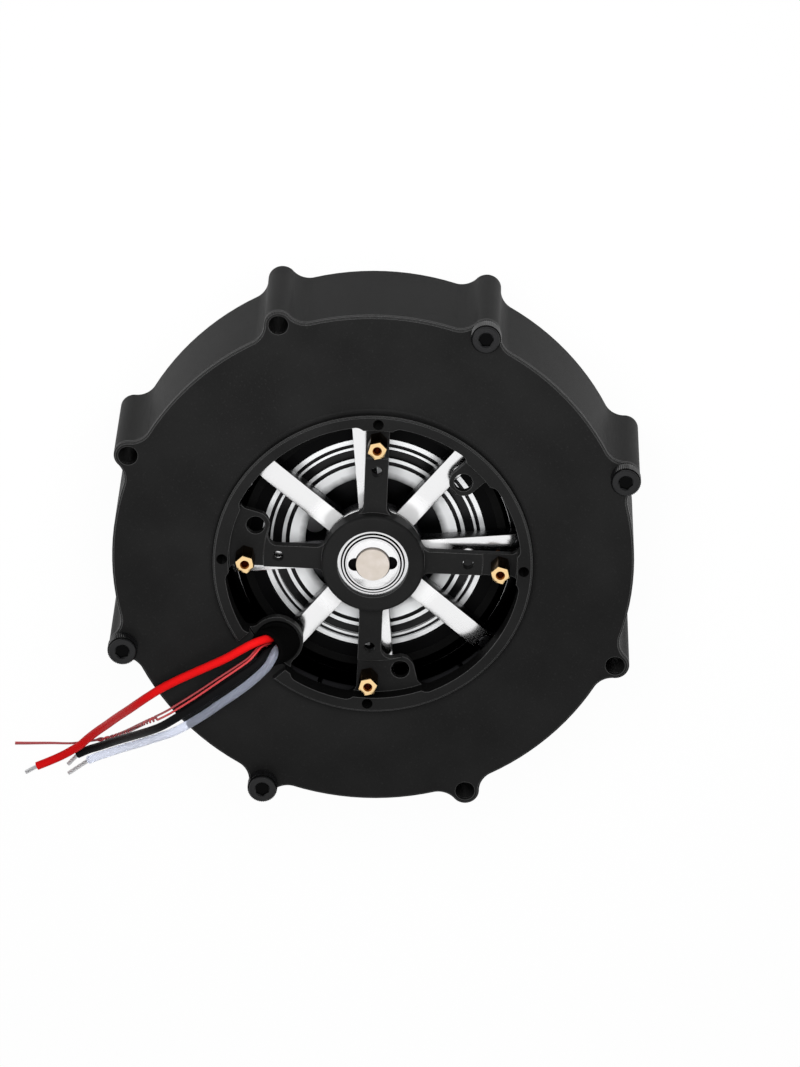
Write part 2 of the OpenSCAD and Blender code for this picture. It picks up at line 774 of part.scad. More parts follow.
module carrier_plate() {
  plate_r = planet_at + pin_r + 3.2;
  color([0.25, 0.25, 0.27]) difference() {
    cylinder_to(plate_r, carrier_z, carrier_top);
    cylinder_to(sun_pitch + gear_module + wide_gap, 0, case_h);
    for (k = [0 : planets - 1]) planet_place(k) cylinder_to(pin_r + fit_gap, 0, case_h);
    around(planets, planet_turn + 180 / planets, pillar_at) {
      cylinder_to(carrier_screw_r + fit_gap, 0, case_h);
      translate([0, 0, carrier_top - carrier_head_t])
        cylinder(r1 = carrier_screw_r, r2 = carrier_head_r, h = carrier_head_t);
      cylinder_to(carrier_head_r, carrier_top - eps, case_h);
    }
  }
}

module carrier_screws() {
  color([0.3, 0.3, 0.32])
    around(planets, planet_turn + 180 / planets, pillar_at) difference() {
      union() {
        cylinder_to(carrier_screw_r - fit_gap, flange_top, carrier_top - carrier_head_t);
        translate([0, 0, carrier_top - carrier_head_t])
          cylinder(r1 = carrier_screw_r - fit_gap, r2 = carrier_head_r - fit_gap, h = carrier_head_t);
      }
      translate([0, 0, carrier_top - carrier_head_t + 0.2]) hex_prism(2, carrier_head_t);
    }
}

module output_seal() {
  color([0.07, 0.07, 0.07]) translate([0, 0, flange_recess])
    tube(lip_r - fit_gap, flange_r + turn_gap, out_bearing_z - flange_recess - slide_gap);
}

// Bearings: each race is a ring with a ball groove turned in it

module race(outer, inner, h, mid, ball, ball_z = -1) {
  difference() {
    tube(outer, inner, h);
    translate([0, 0, ball_z < 0 ? h / 2 : ball_z]) rotate_extrude() translate([mid, 0])
      circle(r = ball + run_gap, $fn = 48);
  }
}

module balls(count, mid, ball, z) {
  around(count, 0, mid) translate([0, 0, z]) sphere(r = ball, $fn = 32);
}

function race_gap(ball) = 0.6 * ball;

module output_bearing_outer() {
  color([0.75, 0.76, 0.78]) translate([0, 0, out_bearing_z])
    race(tube_bore - fit_gap, out_race_mid + race_gap(out_ball_r), out_bearing_w,
      out_race_mid, out_ball_r);
}

module output_bearing_inner() {
  color([0.75, 0.76, 0.78]) translate([0, 0, out_bearing_z])
    race(out_race_mid - race_gap(out_ball_r), out_bore_r, out_bearing_w,
      out_race_mid, out_ball_r);
}

module output_bearing_balls() {
  color([0.8, 0.8, 0.82]) balls(20, out_race_mid, out_ball_r, out_bearing_z + out_bearing_w / 2);
}

module rear_bearing_outer() {
  color([0.78, 0.79, 0.8]) translate([0, 0, rear_bearing_z]) difference() {
    race(rear_seat_r, rear_mid + race_gap(rear_ball_r), rear_bearing_w, rear_mid, rear_ball_r);
    translate([0, 0, rear_bearing_w - shield_t]) cylinder(r = shield_r, h = 1);
  }
}

// The inner ring steps in for the shield and ends flush with the shaft
module rear_bearing_inner() {
  step_z = rear_bearing_w - shield_t - slide_gap;
  color([0.78, 0.79, 0.8]) translate([0, 0, rear_bearing_z]) union() {
    race(rear_mid - race_gap(rear_ball_r), shaft_r + fit_gap, step_z, rear_mid, rear_ball_r,
      rear_bearing_w / 2);
    translate([0, 0, step_z - eps])
      tube(rear_inner_step_r, shaft_r + fit_gap, shaft_top - rear_bearing_z - step_z + eps);
  }
}

module rear_bearing_balls() {
  color([0.8, 0.8, 0.82]) balls(12, rear_mid, rear_ball_r, rear_bearing_z + rear_bearing_w / 2);
}

module rear_bearing_shield() {
  color([0.7, 0.71, 0.72]) translate([0, 0, rear_bearing_z + rear_bearing_w - shield_t])
    rotate_extrude() polygon([
      [shield_bore_r, 0], [shield_r - fit_gap, 0],
      [shield_r - fit_gap, shield_t], [shield_web_r, shield_t],
      [shield_web_r, shield_web_t], [shield_bead_r, shield_web_t],
      [shield_bead_r, shield_t + shield_bead_h], [shield_bore_r, shield_t + shield_bead_h]
    ]);
}

module nose_bearing_outer() {
  color([0.75, 0.76, 0.78]) translate([0, 0, nose_bearing_z])
    race(nose_r + nose_bearing_t, nose_mid + race_gap(nose_ball_r), nose_bearing_w,
      nose_mid, nose_ball_r);
}

module nose_bearing_inner() {
  color([0.75, 0.76, 0.78]) translate([0, 0, nose_bearing_z])
    race(nose_mid - race_gap(nose_ball_r), nose_r + fit_gap, nose_bearing_w, nose_mid, nose_ball_r);
}

module nose_bearing_balls() {
  color([0.8, 0.8, 0.82]) balls(9, nose_mid, nose_ball_r, nose_bearing_z + nose_bearing_w / 2);
}

// Rotor

module spoke_squares(from, to) {
  around(spokes, spoke_turn) translate([from, -spoke_w / 2]) square([to - from, spoke_w]);
}

module rotor_hub() {
  notch_r = 1.45;
  notch_at = 4.1;
  pocket_r = sense_magnet_r + 0.3;
  pocket_z = shaft_top + sense_magnet_out - sense_magnet_t;
  color([0.86, 0.87, 0.88]) difference() {
    union() {
      translate([0, 0, spoke_z]) linear_extrude(spoke_t) {
        circle(r = rotor_hub_r);
        spoke_squares(0, spoke_step_r);
      }
      translate([0, 0, spoke_z]) linear_extrude(spoke_t - spoke_step)
        spoke_squares(spoke_step_r - 1, foot_r);
      cylinder_to(rotor_hub_r - 0.4, rotor_hub_z, spoke_z + eps);
      cylinder_to(shaft_r + 0.9, spoke_top - eps, rear_bearing_z);
      cylinder_to(shaft_r, rear_bearing_z - eps, shaft_top);
    }
    translate([0, 0, rotor_hub_z - eps]) cylinder(r = shank_r + fit_gap, h = spoke_top - rotor_hub_z + eps);
    translate([0, 0, pocket_z]) cylinder(r = pocket_r, h = case_h);
    for (a = [arm_turn + 5, arm_turn + 185]) rotate(a) translate([notch_at, 0, pocket_z + 0.4])
      cylinder(r = notch_r, h = case_h);
    around(spokes, spoke_turn, foot_screw_at) translate([0, 0, spoke_z - eps])
      cylinder(r = foot_screw_r + fit_gap, h = case_h);
  }
}

module rotor_iron_ring() {
  color([0.1, 0.1, 0.11]) difference() {
    translate([0, 0, iron_z]) tube(iron_r, iron_bore, spoke_z - iron_z);
    around(spokes, spoke_turn, foot_screw_at) translate([0, 0, spoke_z - foot_screw_len - 0.5])
      cylinder(r = foot_screw_r + fit_gap, h = case_h);
  }
}

module rotor_magnets() {
  gap = 1.2;
  color([0.66, 0.67, 0.68]) translate([0, 0, iron_z + 1]) linear_extrude(spoke_z - iron_z - 2)
    difference() {
      circle(r = rotor_r, $fn = 192);
      circle(r = iron_r + fit_gap, $fn = 192);
      around(magnets, 180 / magnets) translate([0, -gap / 2]) square([case_r, gap]);
    }
}

module spoke_screws() {
  color([0.3, 0.3, 0.32])
    around(spokes, spoke_turn, foot_screw_at) translate([0, 0, foot_top])
      cap_screw(foot_screw_r, foot_head_r, foot_head_h, foot_top - spoke_z + foot_screw_len,
        foot_socket_w);
}

module encoder_magnet() {
  color([0.84, 0.8, 0.76])
    translate([0, 0, shaft_top + sense_magnet_out - sense_magnet_t])
      cylinder(r = sense_magnet_r, h = sense_magnet_t);
}

// Leads. Each route is a list of points on the lead's centre line, from the foot
// of the boot, over the case's edge, to the surface that the module lies on.

red_route = [
  [-1.7, -30.1, 28.6], [-1.7, -30.1, 30.6], [-2.5, -30.4, 32.6], [-3.7, -31.2, 34.3],
  [-4.9, -33.2, 35.5], [-5.7, -36, 35.9], [-6.4, -40, 35.6], [-7.6, -45, 35],
  [-8.8, -50, 34.2], [-9.7, -54, 33.6], [-10.4, -58, 33], [-10.6, -61, 32.2],
  [-10.3, -65, 29.8], [-9.5, -69, 26], [-8.5, -73, 21.4], [-7.4, -77, 16.6],
  [-6.3, -81, 12], [-5.5, -85, 8.2], [-4.8, -89, 5.2], [-4.4, -92, 3.8],
  [-4.4, -95, 2.5], [-4.7, -98, 1.5], [-5.4, -101, 1], [-6.6, -104.5, 1]
];
black_route = [
  [1.1, -31.8, 28.6], [1.1, -31.8, 30.6], [0.3, -32.3, 32.4], [-0.5, -33.2, 34.2],
  [-0.6, -34.6, 35.3], [-0.6, -36.6, 35.8], [-0.9, -40, 35.6], [-1.3, -45, 35],
  [-1.6, -50, 34.2], [-1.9, -54, 33.6], [-2.2, -58, 33], [-2.4, -61, 32.2],
  [-2.3, -65, 29.8], [-2.1, -69, 26], [-1.8, -73, 21.4], [-1.5, -77, 16.6],
  [-1.2, -81, 11.8], [-1.1, -85, 7.6], [-1.3, -89, 4.2], [-1.8, -92, 2.3],
  [-2.3, -95, 1.2]
];
white_route = [
  [1, -29.6, 28.6], [1, -29.6, 30.6], [0.7, -29.9, 32.6], [0.3, -30.9, 34.3],
  [0.7, -32.3, 35.6], [1.2, -33.9, 36.1], [1.6, -36, 35.9], [1.8, -40, 35.6],
  [1.7, -45, 35],
  [1.4, -50, 34.2], [1.2, -54, 33.6], [0.8, -58, 33], [0.5, -61, 32.2],
  [0.3, -65, 29.8], [0.3, -69, 26], [0.6, -73, 21.4], [1, -77, 16.6],
  [1.3, -81, 11.8], [1.4, -85, 7.6], [1.2, -89, 4.2], [0.8, -92, 2.3],
  [0.5, -94, 1.4]
];
sensor_route = [
  [-0.9, -32.2, 28.6], [-0.9, -32.2, 30.6], [-1.9, -32.4, 32.4], [-2.8, -33.2, 34.2],
  [-2.9, -34.6, 35.3], [-2.8, -36.6, 35.8], [-3, -40, 35.5], [-3.4, -45, 34.9],
  [-3.7, -50, 34.1], [-4, -54, 33.5], [-4.4, -58, 32.9], [-4.6, -61, 32.1],
  [-4.6, -65, 29.4], [-4.2, -69, 25], [-3, -73, 19], [-1.7, -77, 12.8],
  [-0.6, -81, 7], [-0.3, -84, 3.6], [-0.8, -87, 1.6], [-2.4, -90, 0.9],
  [-5.1, -94, 0.9], [-8.8, -98, 0.9], [-12.4, -102, 0.9], [-14.6, -104.4, 0.9]
];
red_tip = [-7.2, -107.8, 0.7];
black_tip = [-1.9, -98.8, 0.7];
white_tip = [-0.1, -100.4, 0.7];
lead_sides = 8;
strand_gap = 0.1;

function unit(v) = v / norm(v);

// Direction of a route at its point i
function route_way(p, i) = unit(p[min(i + 1, len(p) - 1)] - p[max(i - 1, 0)]);

// Ring of points round the route's point i
function route_ring(p, i, r) =
  let(way = route_way(p, i), across = unit(cross(way, [1, 0, 0])), over = cross(across, way))
  [for (k = [0 : lead_sides - 1]) p[i] + r * (cos(k * 360 / lead_sides) * across
    + sin(k * 360 / lead_sides) * over)];

module sweep(p, r) {
  last = len(p) - 1;
  n = lead_sides;
  polyhedron(
    points = [for (i = [0 : last]) each route_ring(p, i, r)],
    faces = concat(
      [[for (k = [0 : n - 1]) k]],
      [for (i = [0 : last - 1], k = [0 : n - 1]) let(j = (k + 1) % n)
        [i * n + k, (i + 1) * n + k, (i + 1) * n + j, i * n + j]],
      [[for (k = [n - 1 : -1 : 0]) last * n + k]]
    )
  );
}

module red_lead() color([0.8, 0.1, 0.12]) sweep(red_route, lead_d / 2);
module black_lead() color([0.06, 0.06, 0.06]) sweep(black_route, lead_d / 2);
module white_lead() color([0.8, 0.82, 0.86]) sweep(white_route, lead_d / 2);

// Two thin leads twisted together, held here as one tube round both
module sensor_pair() color([0.75, 0.2, 0.22]) sweep(sensor_route, sense_d);

// Bare strands that stick out of a lead's end, towards a tip
module strands(route, tip) {
  end = route[len(route) - 1];
  way = tip - end;
  translate(end) rotate([0, acos(way[2] / norm(way)), atan2(way[1], way[0])])
    translate([0, 0, strand_gap]) cylinder(r = strand_d / 2, h = norm(way) - strand_gap, $fn = 16);
}

module tinned_ends() {
  color([0.7, 0.7, 0.7]) {
    strands(red_route, red_tip);
    strands(black_route, black_tip);
    strands(white_route, white_tip);
  }
}

front_housing();
rear_cover();
case_screws();
board_standoffs();
cable_boot();
stator_core();
stator_coils();
ring_gear();
gearbox_cap();
cap_retainer();
output_bearing_outer();
output_bearing_balls();
output_seal();
rear_bearing_outer();
rear_bearing_balls();
rear_bearing_shield();
rotor_hub();
rotor_iron_ring();
rotor_magnets();
spoke_screws();
sun_gear();
encoder_magnet();
rear_bearing_inner();
nose_bearing_inner();
output_flange();
carrier_plate();
carrier_screws();
planet_pins();
output_bearing_inner();
nose_bearing_outer();
nose_bearing_balls();
planet_gear_1();
planet_gear_2();
planet_gear_3();
planet_bush_1();
planet_bush_2();
planet_bush_3();
red_lead();
black_lead();
white_lead();
sensor_pair();
tinned_ends();
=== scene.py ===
# %% [markdown]
# # A robot joint module, seen from its open rear side
# The module is a flat round motor with a planetary gear stage in its bore. It lies
# on its output face. The frame gives the exact solids in metres; this lesson adds
# the camera, the leads, the finishes and the light, and models again, with broken
# edges, the pieces that the camera sees best.

# %% The frame
import math

import bmesh
import bpy
from mathutils import Matrix, Vector


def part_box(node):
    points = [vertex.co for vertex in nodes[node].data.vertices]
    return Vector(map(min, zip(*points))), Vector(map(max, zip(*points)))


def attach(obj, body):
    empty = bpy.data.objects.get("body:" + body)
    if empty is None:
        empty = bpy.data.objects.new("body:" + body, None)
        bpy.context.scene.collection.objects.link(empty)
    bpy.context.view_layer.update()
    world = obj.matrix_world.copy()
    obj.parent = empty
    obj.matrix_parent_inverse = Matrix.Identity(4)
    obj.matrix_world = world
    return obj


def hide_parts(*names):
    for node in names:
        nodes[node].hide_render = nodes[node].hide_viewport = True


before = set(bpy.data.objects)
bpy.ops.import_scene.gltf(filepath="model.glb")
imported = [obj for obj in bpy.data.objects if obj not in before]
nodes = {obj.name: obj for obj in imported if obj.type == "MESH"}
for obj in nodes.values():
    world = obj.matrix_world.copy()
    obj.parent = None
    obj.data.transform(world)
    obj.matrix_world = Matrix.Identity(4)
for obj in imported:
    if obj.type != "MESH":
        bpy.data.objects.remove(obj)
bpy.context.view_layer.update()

MM = 0.001
print("the frame holds", len(nodes), "nodes")

# %% [markdown]
# ## Camera
# The picture is a product shot through a long lens, from 22 degrees off the axis, so
# one side of the case's wall shows as a thin band. The camera was fitted to the bolt
# bosses, the raised ring and the standoffs: its place and its three directions are
# in the module's own axes.

# %% Camera
eye = bpy.data.cameras.new("eye")
eye.sensor_fit = "HORIZONTAL"
eye.sensor_width = 36
eye.lens = 296.77
eye.clip_start = 0.1
eye.clip_end = 20
camera = bpy.data.objects.new("camera", eye)
bpy.context.scene.collection.objects.link(camera)
camera_at = Vector((-0.409751, 0.420978, 1.438237))
to_right = Vector((0.679166, 0.733781, -0.017307))
to_top = Vector((-0.683075, 0.623254, -0.380741))
to_back = Vector((-0.268594, 0.270408, 0.92452))
turn = Matrix((to_right, to_top, to_back)).transposed().to_4x4()
camera.matrix_world = Matrix.Translation(camera_at) @ turn
bpy.context.scene.camera = camera
print("camera", round(camera_at.length, 3), "m from the foot of the module's axis")


# %% [markdown]
# ## Working by hand, in code
# Every operator works on all that is selected, so a helper first deselects all and
# then picks one piece. Another picks vertices, edges or faces in edit mode, by a test
# on their place or shape.

# %% Helpers that pick
def pick(*pieces):
    bpy.ops.object.select_all(action="DESELECT")
    for piece in pieces:
        piece.select_set(True)
    bpy.context.view_layer.objects.active = pieces[0]
    return pieces[0]


def pick_parts(piece, kind, test):
    """In edit mode, select the vertices, edges or faces that pass a test."""
    bpy.ops.mesh.select_mode(type=kind)
    bpy.ops.mesh.select_all(action="DESELECT")
    mesh = bmesh.from_edit_mesh(piece.data)
    parts = {"VERT": mesh.verts, "EDGE": mesh.edges, "FACE": mesh.faces}[kind]
    for part in parts:
        part.select_set(test(part))
    count = sum(part.select for part in parts)
    bmesh.update_edit_mesh(piece.data)
    return count


print("helpers that pick are ready")

# %% [markdown]
# ## Finishing a piece
# Modifiers are applied as soon as they are set. A finished piece sits at the origin
# with its place and turn in its mesh, so that a pattern stays where it is when the
# piece is exported. Copies get a mesh of their own.

# %% Helpers that finish
def name_it(name):
    piece = bpy.context.active_object
    piece.name = name
    piece.data.name = name
    return piece


def apply_modifier(piece, kind, **settings):
    modifier = piece.modifiers.new(kind.title(), kind)
    for key, value in settings.items():
        setattr(modifier, key, value)
    pick(piece)
    bpy.ops.object.modifier_apply(modifier=modifier.name)


def settle(piece):
    """Put a finished piece's place and turn into its mesh."""
    pick(piece)
    bpy.ops.object.transform_apply(location=True, rotation=True, scale=True)
    return piece


def smooth(piece, degrees):
    pick(piece)
    bpy.ops.object.shade_smooth_by_angle(angle=math.radians(degrees))


def join(pieces, name):
    pick(*pieces)
    bpy.ops.object.join()
    return name_it(name)


def copy_of(piece):
    other = piece.copy()
    other.data = piece.data.copy()
    bpy.context.scene.collection.objects.link(other)
    return other


print("helpers that finish are ready")

# %% [markdown]
# ## Shader maths in Python
# A small class wraps a socket, so that a pattern is written as plain arithmetic and
# each operator adds its Math node. One function adds any other node.

# %% Sockets that can be calculated with
def feed(tree, socket, value):
    """Link a value to a socket, or set the socket to a number or a colour."""
    if isinstance(value, Value):
        tree.links.new(value.socket, socket)
    elif isinstance(value, bpy.types.NodeSocket):
        tree.links.new(value, socket)
    elif hasattr(value, "__len__") and len(value) == 3 and len(socket.default_value) == 4:
        socket.default_value = (*value, 1)
    else:
        socket.default_value = value


def add_node(tree, kind, settings=None, **sockets):
    """Any node: its settings are set first, then its sockets are fed."""
    node = tree.nodes.new(kind)
    for name, value in (settings or {}).items():
        setattr(node, name, value)
    for name, value in sockets.items():
        feed(tree, node.inputs[name.replace("_", " ").title()], value)
    return node


class Value:
    def __init__(self, tree, socket):
        self.tree = tree
        self.socket = socket

    def maths(self, operation, *values):
        node = add_node(self.tree, "ShaderNodeMath", {"operation": operation})
        for socket, value in zip(node.inputs, values):
            feed(self.tree, socket, value)
        return Value(self.tree, node.outputs[0])

    def __add__(self, other):
        return self.maths("ADD", self, other)

    def __radd__(self, other):
        return self.maths("ADD", other, self)

    def __sub__(self, other):
        return self.maths("SUBTRACT", self, other)

    def __rsub__(self, other):
        return self.maths("SUBTRACT", other, self)

    def __mul__(self, other):
        return self.maths("MULTIPLY", self, other)

    def __rmul__(self, other):
        return self.maths("MULTIPLY", other, self)

    def __gt__(self, other):
        return self.maths("GREATER_THAN", self, other)

    def __lt__(self, other):
        return self.maths("LESS_THAN", self, other)

    def root(self):
        return self.maths("SQRT", self)

    def waves(self, pitch):
        """A sine between 0 and 1 that repeats after every pitch."""
        angle = self * (2 * math.pi / pitch)
        return angle.maths("SINE", angle) * 0.5 + 0.5


print("shader maths ready")

# %% [markdown]
# ## One finish, one object
# A finish holds a material. What is the same all over is set on the shader's own
# socket, and what varies over the surface is linked. Patterns read the piece's own
# coordinates, whose origin is the foot of the module's axis.

# %% Finishes
class Finish:
    def __init__(self, name, colour, metallic=0.0, roughness=0.5, **constants):
        self.material = bpy.data.materials.new(name)
        self.material.use_nodes = True
        self.tree = self.material.node_tree
        self.shader = self.tree.nodes["Principled BSDF"]
        self.set(base_color=colour, metallic=metallic, roughness=roughness, **constants)
        self.place = Value(self.tree, self.node("ShaderNodeTexCoord").outputs["Object"])

    def node(self, kind, settings=None, **sockets):
        return add_node(self.tree, kind, settings, **sockets)

    def set(self, **sockets):
        for name, value in sockets.items():
            title = name.replace("_", " ").title().replace("Ior", "IOR")
            feed(self.tree, self.shader.inputs[title], value)
        return self

    def axes(self):
        split = self.node("ShaderNodeSeparateXYZ", Vector=self.place)
        return [Value(self.tree, axis) for axis in split.outputs]

    def radius(self):
        """The distance from the module's axis."""
        x, y, _ = self.axes()
        return (x * x + y * y).root()

    def noise(self, scale, detail):
        node = self.node("ShaderNodeTexNoise", Vector=self.place, Scale=scale, Detail=detail)
        return Value(self.tree, node.outputs["Fac"])

    def blend(self, mask, first, second):
        """The first colour where the mask is 0, and the second where it is 1."""
        node = self.node("ShaderNodeMix", {"data_type": "RGBA"})
        for number, value in ((0, mask), (6, first), (7, second)):
            feed(self.tree, node.inputs[number], value)
        return Value(self.tree, node.outputs[2])

    def step(self, value, low, high):
        """From 0 at the low value to 1 at the high one."""
        node = self.node("ShaderNodeMapRange", {"clamp": True}, Value=value,
                         From_Min=low, From_Max=high)
        return Value(self.tree, node.outputs[0])

    def bump(self, height, distance):
        node = self.node("ShaderNodeBump", Height=height, Distance=distance)
        return self.set(normal=node.outputs["Normal"])


def paint(piece, *finishes):
    """Give a piece its finishes; the first of them covers it all."""
    piece.data.materials.clear()
    for finish in finishes:
        piece.data.materials.append(finish.material)


def paint_faces(piece, number, test):
    """Give one of a piece's further finishes to the faces that pass a test."""
    for face in piece.data.polygons:
        if test(face, math.hypot(face.center.x, face.center.y)):
            face.material_index = number


def upright(face):
    return abs(face.normal.z) < 0.3


print("finishes can be made")

# %% [markdown]
# ## Black finishes
# The case and the bracket carry the same thin matte black coat with a fine grain,
# so they share one recipe: a dark colour with slight clouds and specks, a fine grain
# in the bump and the roughness, and very little gloss. On the edges the coat is a
# little paler and glossier, partly from handling wear and partly as a painted
# highlight. Deep inside it is painted darker: painted shade.

# %% Black finishes
def black_coat(name, shade, roughness, gloss, grain, depth):
    coat = Finish(name, (shade, shade, shade), roughness=roughness, specular_ior_level=gloss)
    clouds = coat.step(coat.noise(60, 4), 0.35, 0.65)
    specks = coat.step(coat.noise(2300, 2), 0.6, 0.78)
    deep, pale, bright = [(shade * k,) * 3 for k in (0.85, 1.15, 1.6)]
    coat.set(base_color=coat.blend(specks, coat.blend(clouds, deep, pale), bright))
    grains = coat.noise(grain, 2)
    coat.set(roughness=roughness - 0.06 + 0.12 * grains)
    return coat.bump(grains, depth)


case_coat = black_coat("case_coat", 0.0088, 0.5, 0.05, grain=5200, depth=0.05 * MM)
bracket_coat = black_coat("bracket_coat", 0.0088, 0.46, 0.05, grain=3800, depth=0.02 * MM)
# The edges' coat: a little paler and glossier, partly wear and partly a painted highlight.
worn_and_highlit_coat = black_coat("worn_and_highlit_coat", 0.011, 0.28, 0.75, grain=3800, depth=0.03 * MM)
# Painted shade: a darker coat for the faces that lie deep in shadow.
shaded_inner_coat = black_coat("shaded_inner_coat", 0.003, 0.6, 0.03, grain=3800, depth=0.012 * MM)
print("case and bracket coats ready")


# %% [markdown]
# ## Metals
# Turned faces carry fine rings round the axis: a wave of the distance from the axis,
# broken by a little noise. Milled and cast faces carry only small spots. Both bend
# the light a little and shift the roughness.

# %% Recipes for metal
def turned(name, colour, roughness, pitch, depth):
    metal = Finish(name, colour, metallic=1.0, roughness=roughness)
    rings = metal.radius().waves(pitch)
    worn = metal.noise(900, 4)
    metal.set(roughness=roughness - 0.05 + 0.1 * worn)
    return metal.bump(rings * 0.92 + worn * 0.08, depth)


def plain_metal(name, colour, roughness, metallic=1.0, scale=2500, depth=0.004 * MM, **constants):
    metal = Finish(name, colour, metallic=metallic, roughness=roughness, **constants)
    spots = metal.noise(scale, 3)
    metal.set(roughness=roughness - 0.06 + 0.12 * spots)
    return metal.bump(spots, depth)


gear_steel = plain_metal("gear_steel", (0.5, 0.5, 0.52), 0.34)
dark_steel = plain_metal("dark_steel", (0.03, 0.03, 0.032), 0.3)
tinned = plain_metal("tinned", (0.62, 0.62, 0.63), 0.35, scale=4000)
bearing_steel = turned("bearing_steel", (0.82, 0.83, 0.84), 0.12, 0.4 * MM, 0.001 * MM)
flange_alloy = turned("flange_alloy", (0.62, 0.63, 0.65), 0.32, 0.3 * MM, 0.006 * MM)
# Near-black steel, also used as painted shade in the screws' sockets and the shaft's pocket.
black_oxide_and_shade = plain_metal("black_oxide_and_shade", (0.0015, 0.0015, 0.0016), 0.4, metallic=0.0,
                          specular_ior_level=0.03)
screw_black = plain_metal("screw_black", (0.006, 0.006, 0.0065), 0.3, metallic=0.0,
                          specular_ior_level=0.25)
# Painted shade: the rotor's magnets are painted near black, as they lie in deep shadow.
shaded_magnet_coat = plain_metal("shaded_magnet_coat", (0.012, 0.012, 0.013), 0.5, metallic=0.0,
                          specular_ior_level=0.15)
print("steels and blacks ready")

# %% [markdown]
# ## The rotor's bright alloy
# Polished metal shows what it mirrors. Far out on a spoke that is the white room, but
# next to the hub it is the black bracket, and the photograph shows the spokes white
# there too. So the alloy is less of a mirror just outside the hub, a painted light in
# place of that dark reflection, and fully metallic further out. Flanks and feet are
# painted much darker: painted shade.

# %% Rotor alloy
hub_edge = 11.6 * MM
soft_white, full_white = (0.8, 0.8, 0.805), (0.88, 0.88, 0.885)
bright_alloy = plain_metal("bright_alloy", soft_white, 0.18)
away = bright_alloy.radius()
# Painted light: near the hub the spokes are less of a mirror and stay white instead of mirroring
# the bracket.
mirror_share = bright_alloy.step(away, hub_edge + 3.9 * MM, hub_edge + 6.9 * MM)
by_hub = (away > hub_edge) * (1 - mirror_share)
bright_alloy.set(base_color=bright_alloy.blend(mirror_share, soft_white, full_white),
                 metallic=0.76 + 0.24 * mirror_share - 0.3 * by_hub)
# Painted shade: a near-black metal for the spokes' flanks, their feet and the disc's side.
shaded_flank_alloy = plain_metal("shaded_flank_alloy", (0.07, 0.07, 0.072), 0.28)
print("rotor alloy ready")

# %% [markdown]
# ## Bearing shield and rotor ring
# The shield is pressed with a bead, and the two grooves beside the bead lie in
# shadow: a mask on the distance from the axis darkens them. The rotor's iron ring is
# bright on its bored inside and dark outside it.

# %% Bearing shield and rotor ring
shield_grooves = [(6.33 * MM, 6.74 * MM), (7.08 * MM, 7.46 * MM)]
shield_steel = plain_metal("shield_steel", (0.6, 0.6, 0.61), 0.25)
away = shield_steel.radius()
inner, outer = [(away > low) * (away < high) for low, high in shield_grooves]
shield_steel.set(base_color=shield_steel.blend(inner + outer, (0.8, 0.8, 0.81),
                                               (0.001, 0.001, 0.001)))

iron_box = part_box("rotor_iron_ring")
iron_wall = 3.35 * MM
ring_steel = plain_metal("ring_steel", (0.45, 0.45, 0.46), 0.12)
inside = ring_steel.radius() < iron_box[1][0] - iron_wall
ring_steel.set(base_color=ring_steel.blend(inside, (0.004, 0.004, 0.004), (0.5, 0.5, 0.51)))
print("iron ring radius", round(iron_box[1][0] / MM, 2), "mm")

# %% [markdown]
# ## Brass and the sensor's magnet
# The standoffs are bright on the turned crown. Their flanks and their bore are painted
# darker: painted shade. The magnet in the shaft's end is pale and matte, with soft
# smudges.

# %% Brass and the sensor's magnet
brass = plain_metal("brass", (0.96, 0.68, 0.35), 0.18)
# Painted shade: darker brass for the standoffs' bores and flanks.
shaded_brass_bore = plain_metal("shaded_brass_bore", (0.35, 0.11, 0.02), 0.3)
shaded_brass_flank = plain_metal("shaded_brass_flank", (0.1, 0.058, 0.022), 0.3)
sensor_magnet = plain_metal("sensor_magnet", (0.48, 0.43, 0.385), 0.5, metallic=0.25,
                            scale=3000, depth=0.006 * MM)
smudges = sensor_magnet.step(sensor_magnet.noise(420, 4), 0.4, 0.7)
sensor_magnet.set(base_color=sensor_magnet.blend(smudges, (0.46, 0.41, 0.36),
                                                 (0.52, 0.47, 0.43)))
print("brass and magnet ready")

# %% [markdown]
# ## The gear stage's cap
# The cap is coated black and then faced on the lathe, so its lands and its cone are
# bright and the grooves between them stay dark. The mask is the distance from the
# cap's rim inwards. Towards its foot the cone is painted darker with an uneven edge:
# painted shade.

# %% Cap's lands and grooves
cap_foot = 2.9 * MM
cap_grooves = [(1.15, 1.95), (2.5, 4.65), (5.5, 6.45)]
land_bright, groove_black = (0.86, 0.87, 0.88), (0.008, 0.008, 0.0085)
cap_alloy = turned("cap_alloy", land_bright, 0.2, 0.22 * MM, 0.016 * MM)
cap_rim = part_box("gearbox_cap")[1][0] - cap_foot
inwards = cap_rim - cap_alloy.radius()
dark = inwards < 0.0
for start, end in cap_grooves:
    dark = dark + (inwards > start * MM) * (inwards < end * MM)
on_cone = inwards > cap_grooves[-1][1] * MM
# Painted shade: the cone is painted darker towards its foot, with an uneven edge.
ragged_shade = inwards + 1.2 * MM * cap_alloy.noise(500, 4)
dark = dark + 0.9 * cap_alloy.step(ragged_shade, 8.9 * MM, 10.9 * MM)
cap_alloy.set(base_color=cap_alloy.blend(dark, land_bright, groove_black),
              metallic=0.62 - 0.34 * on_cone)
print("cap rim radius", round(cap_rim / MM, 2), "mm")

# %% [markdown]
# ## Laminations, windings and rubber
# The stator's core is a stack of thin sheets and its coils are wound wire, so both
# carry fine lines at an even pitch: a wave of the height. Rubber is near black, and
# its skin scatters the little light that it gives back.

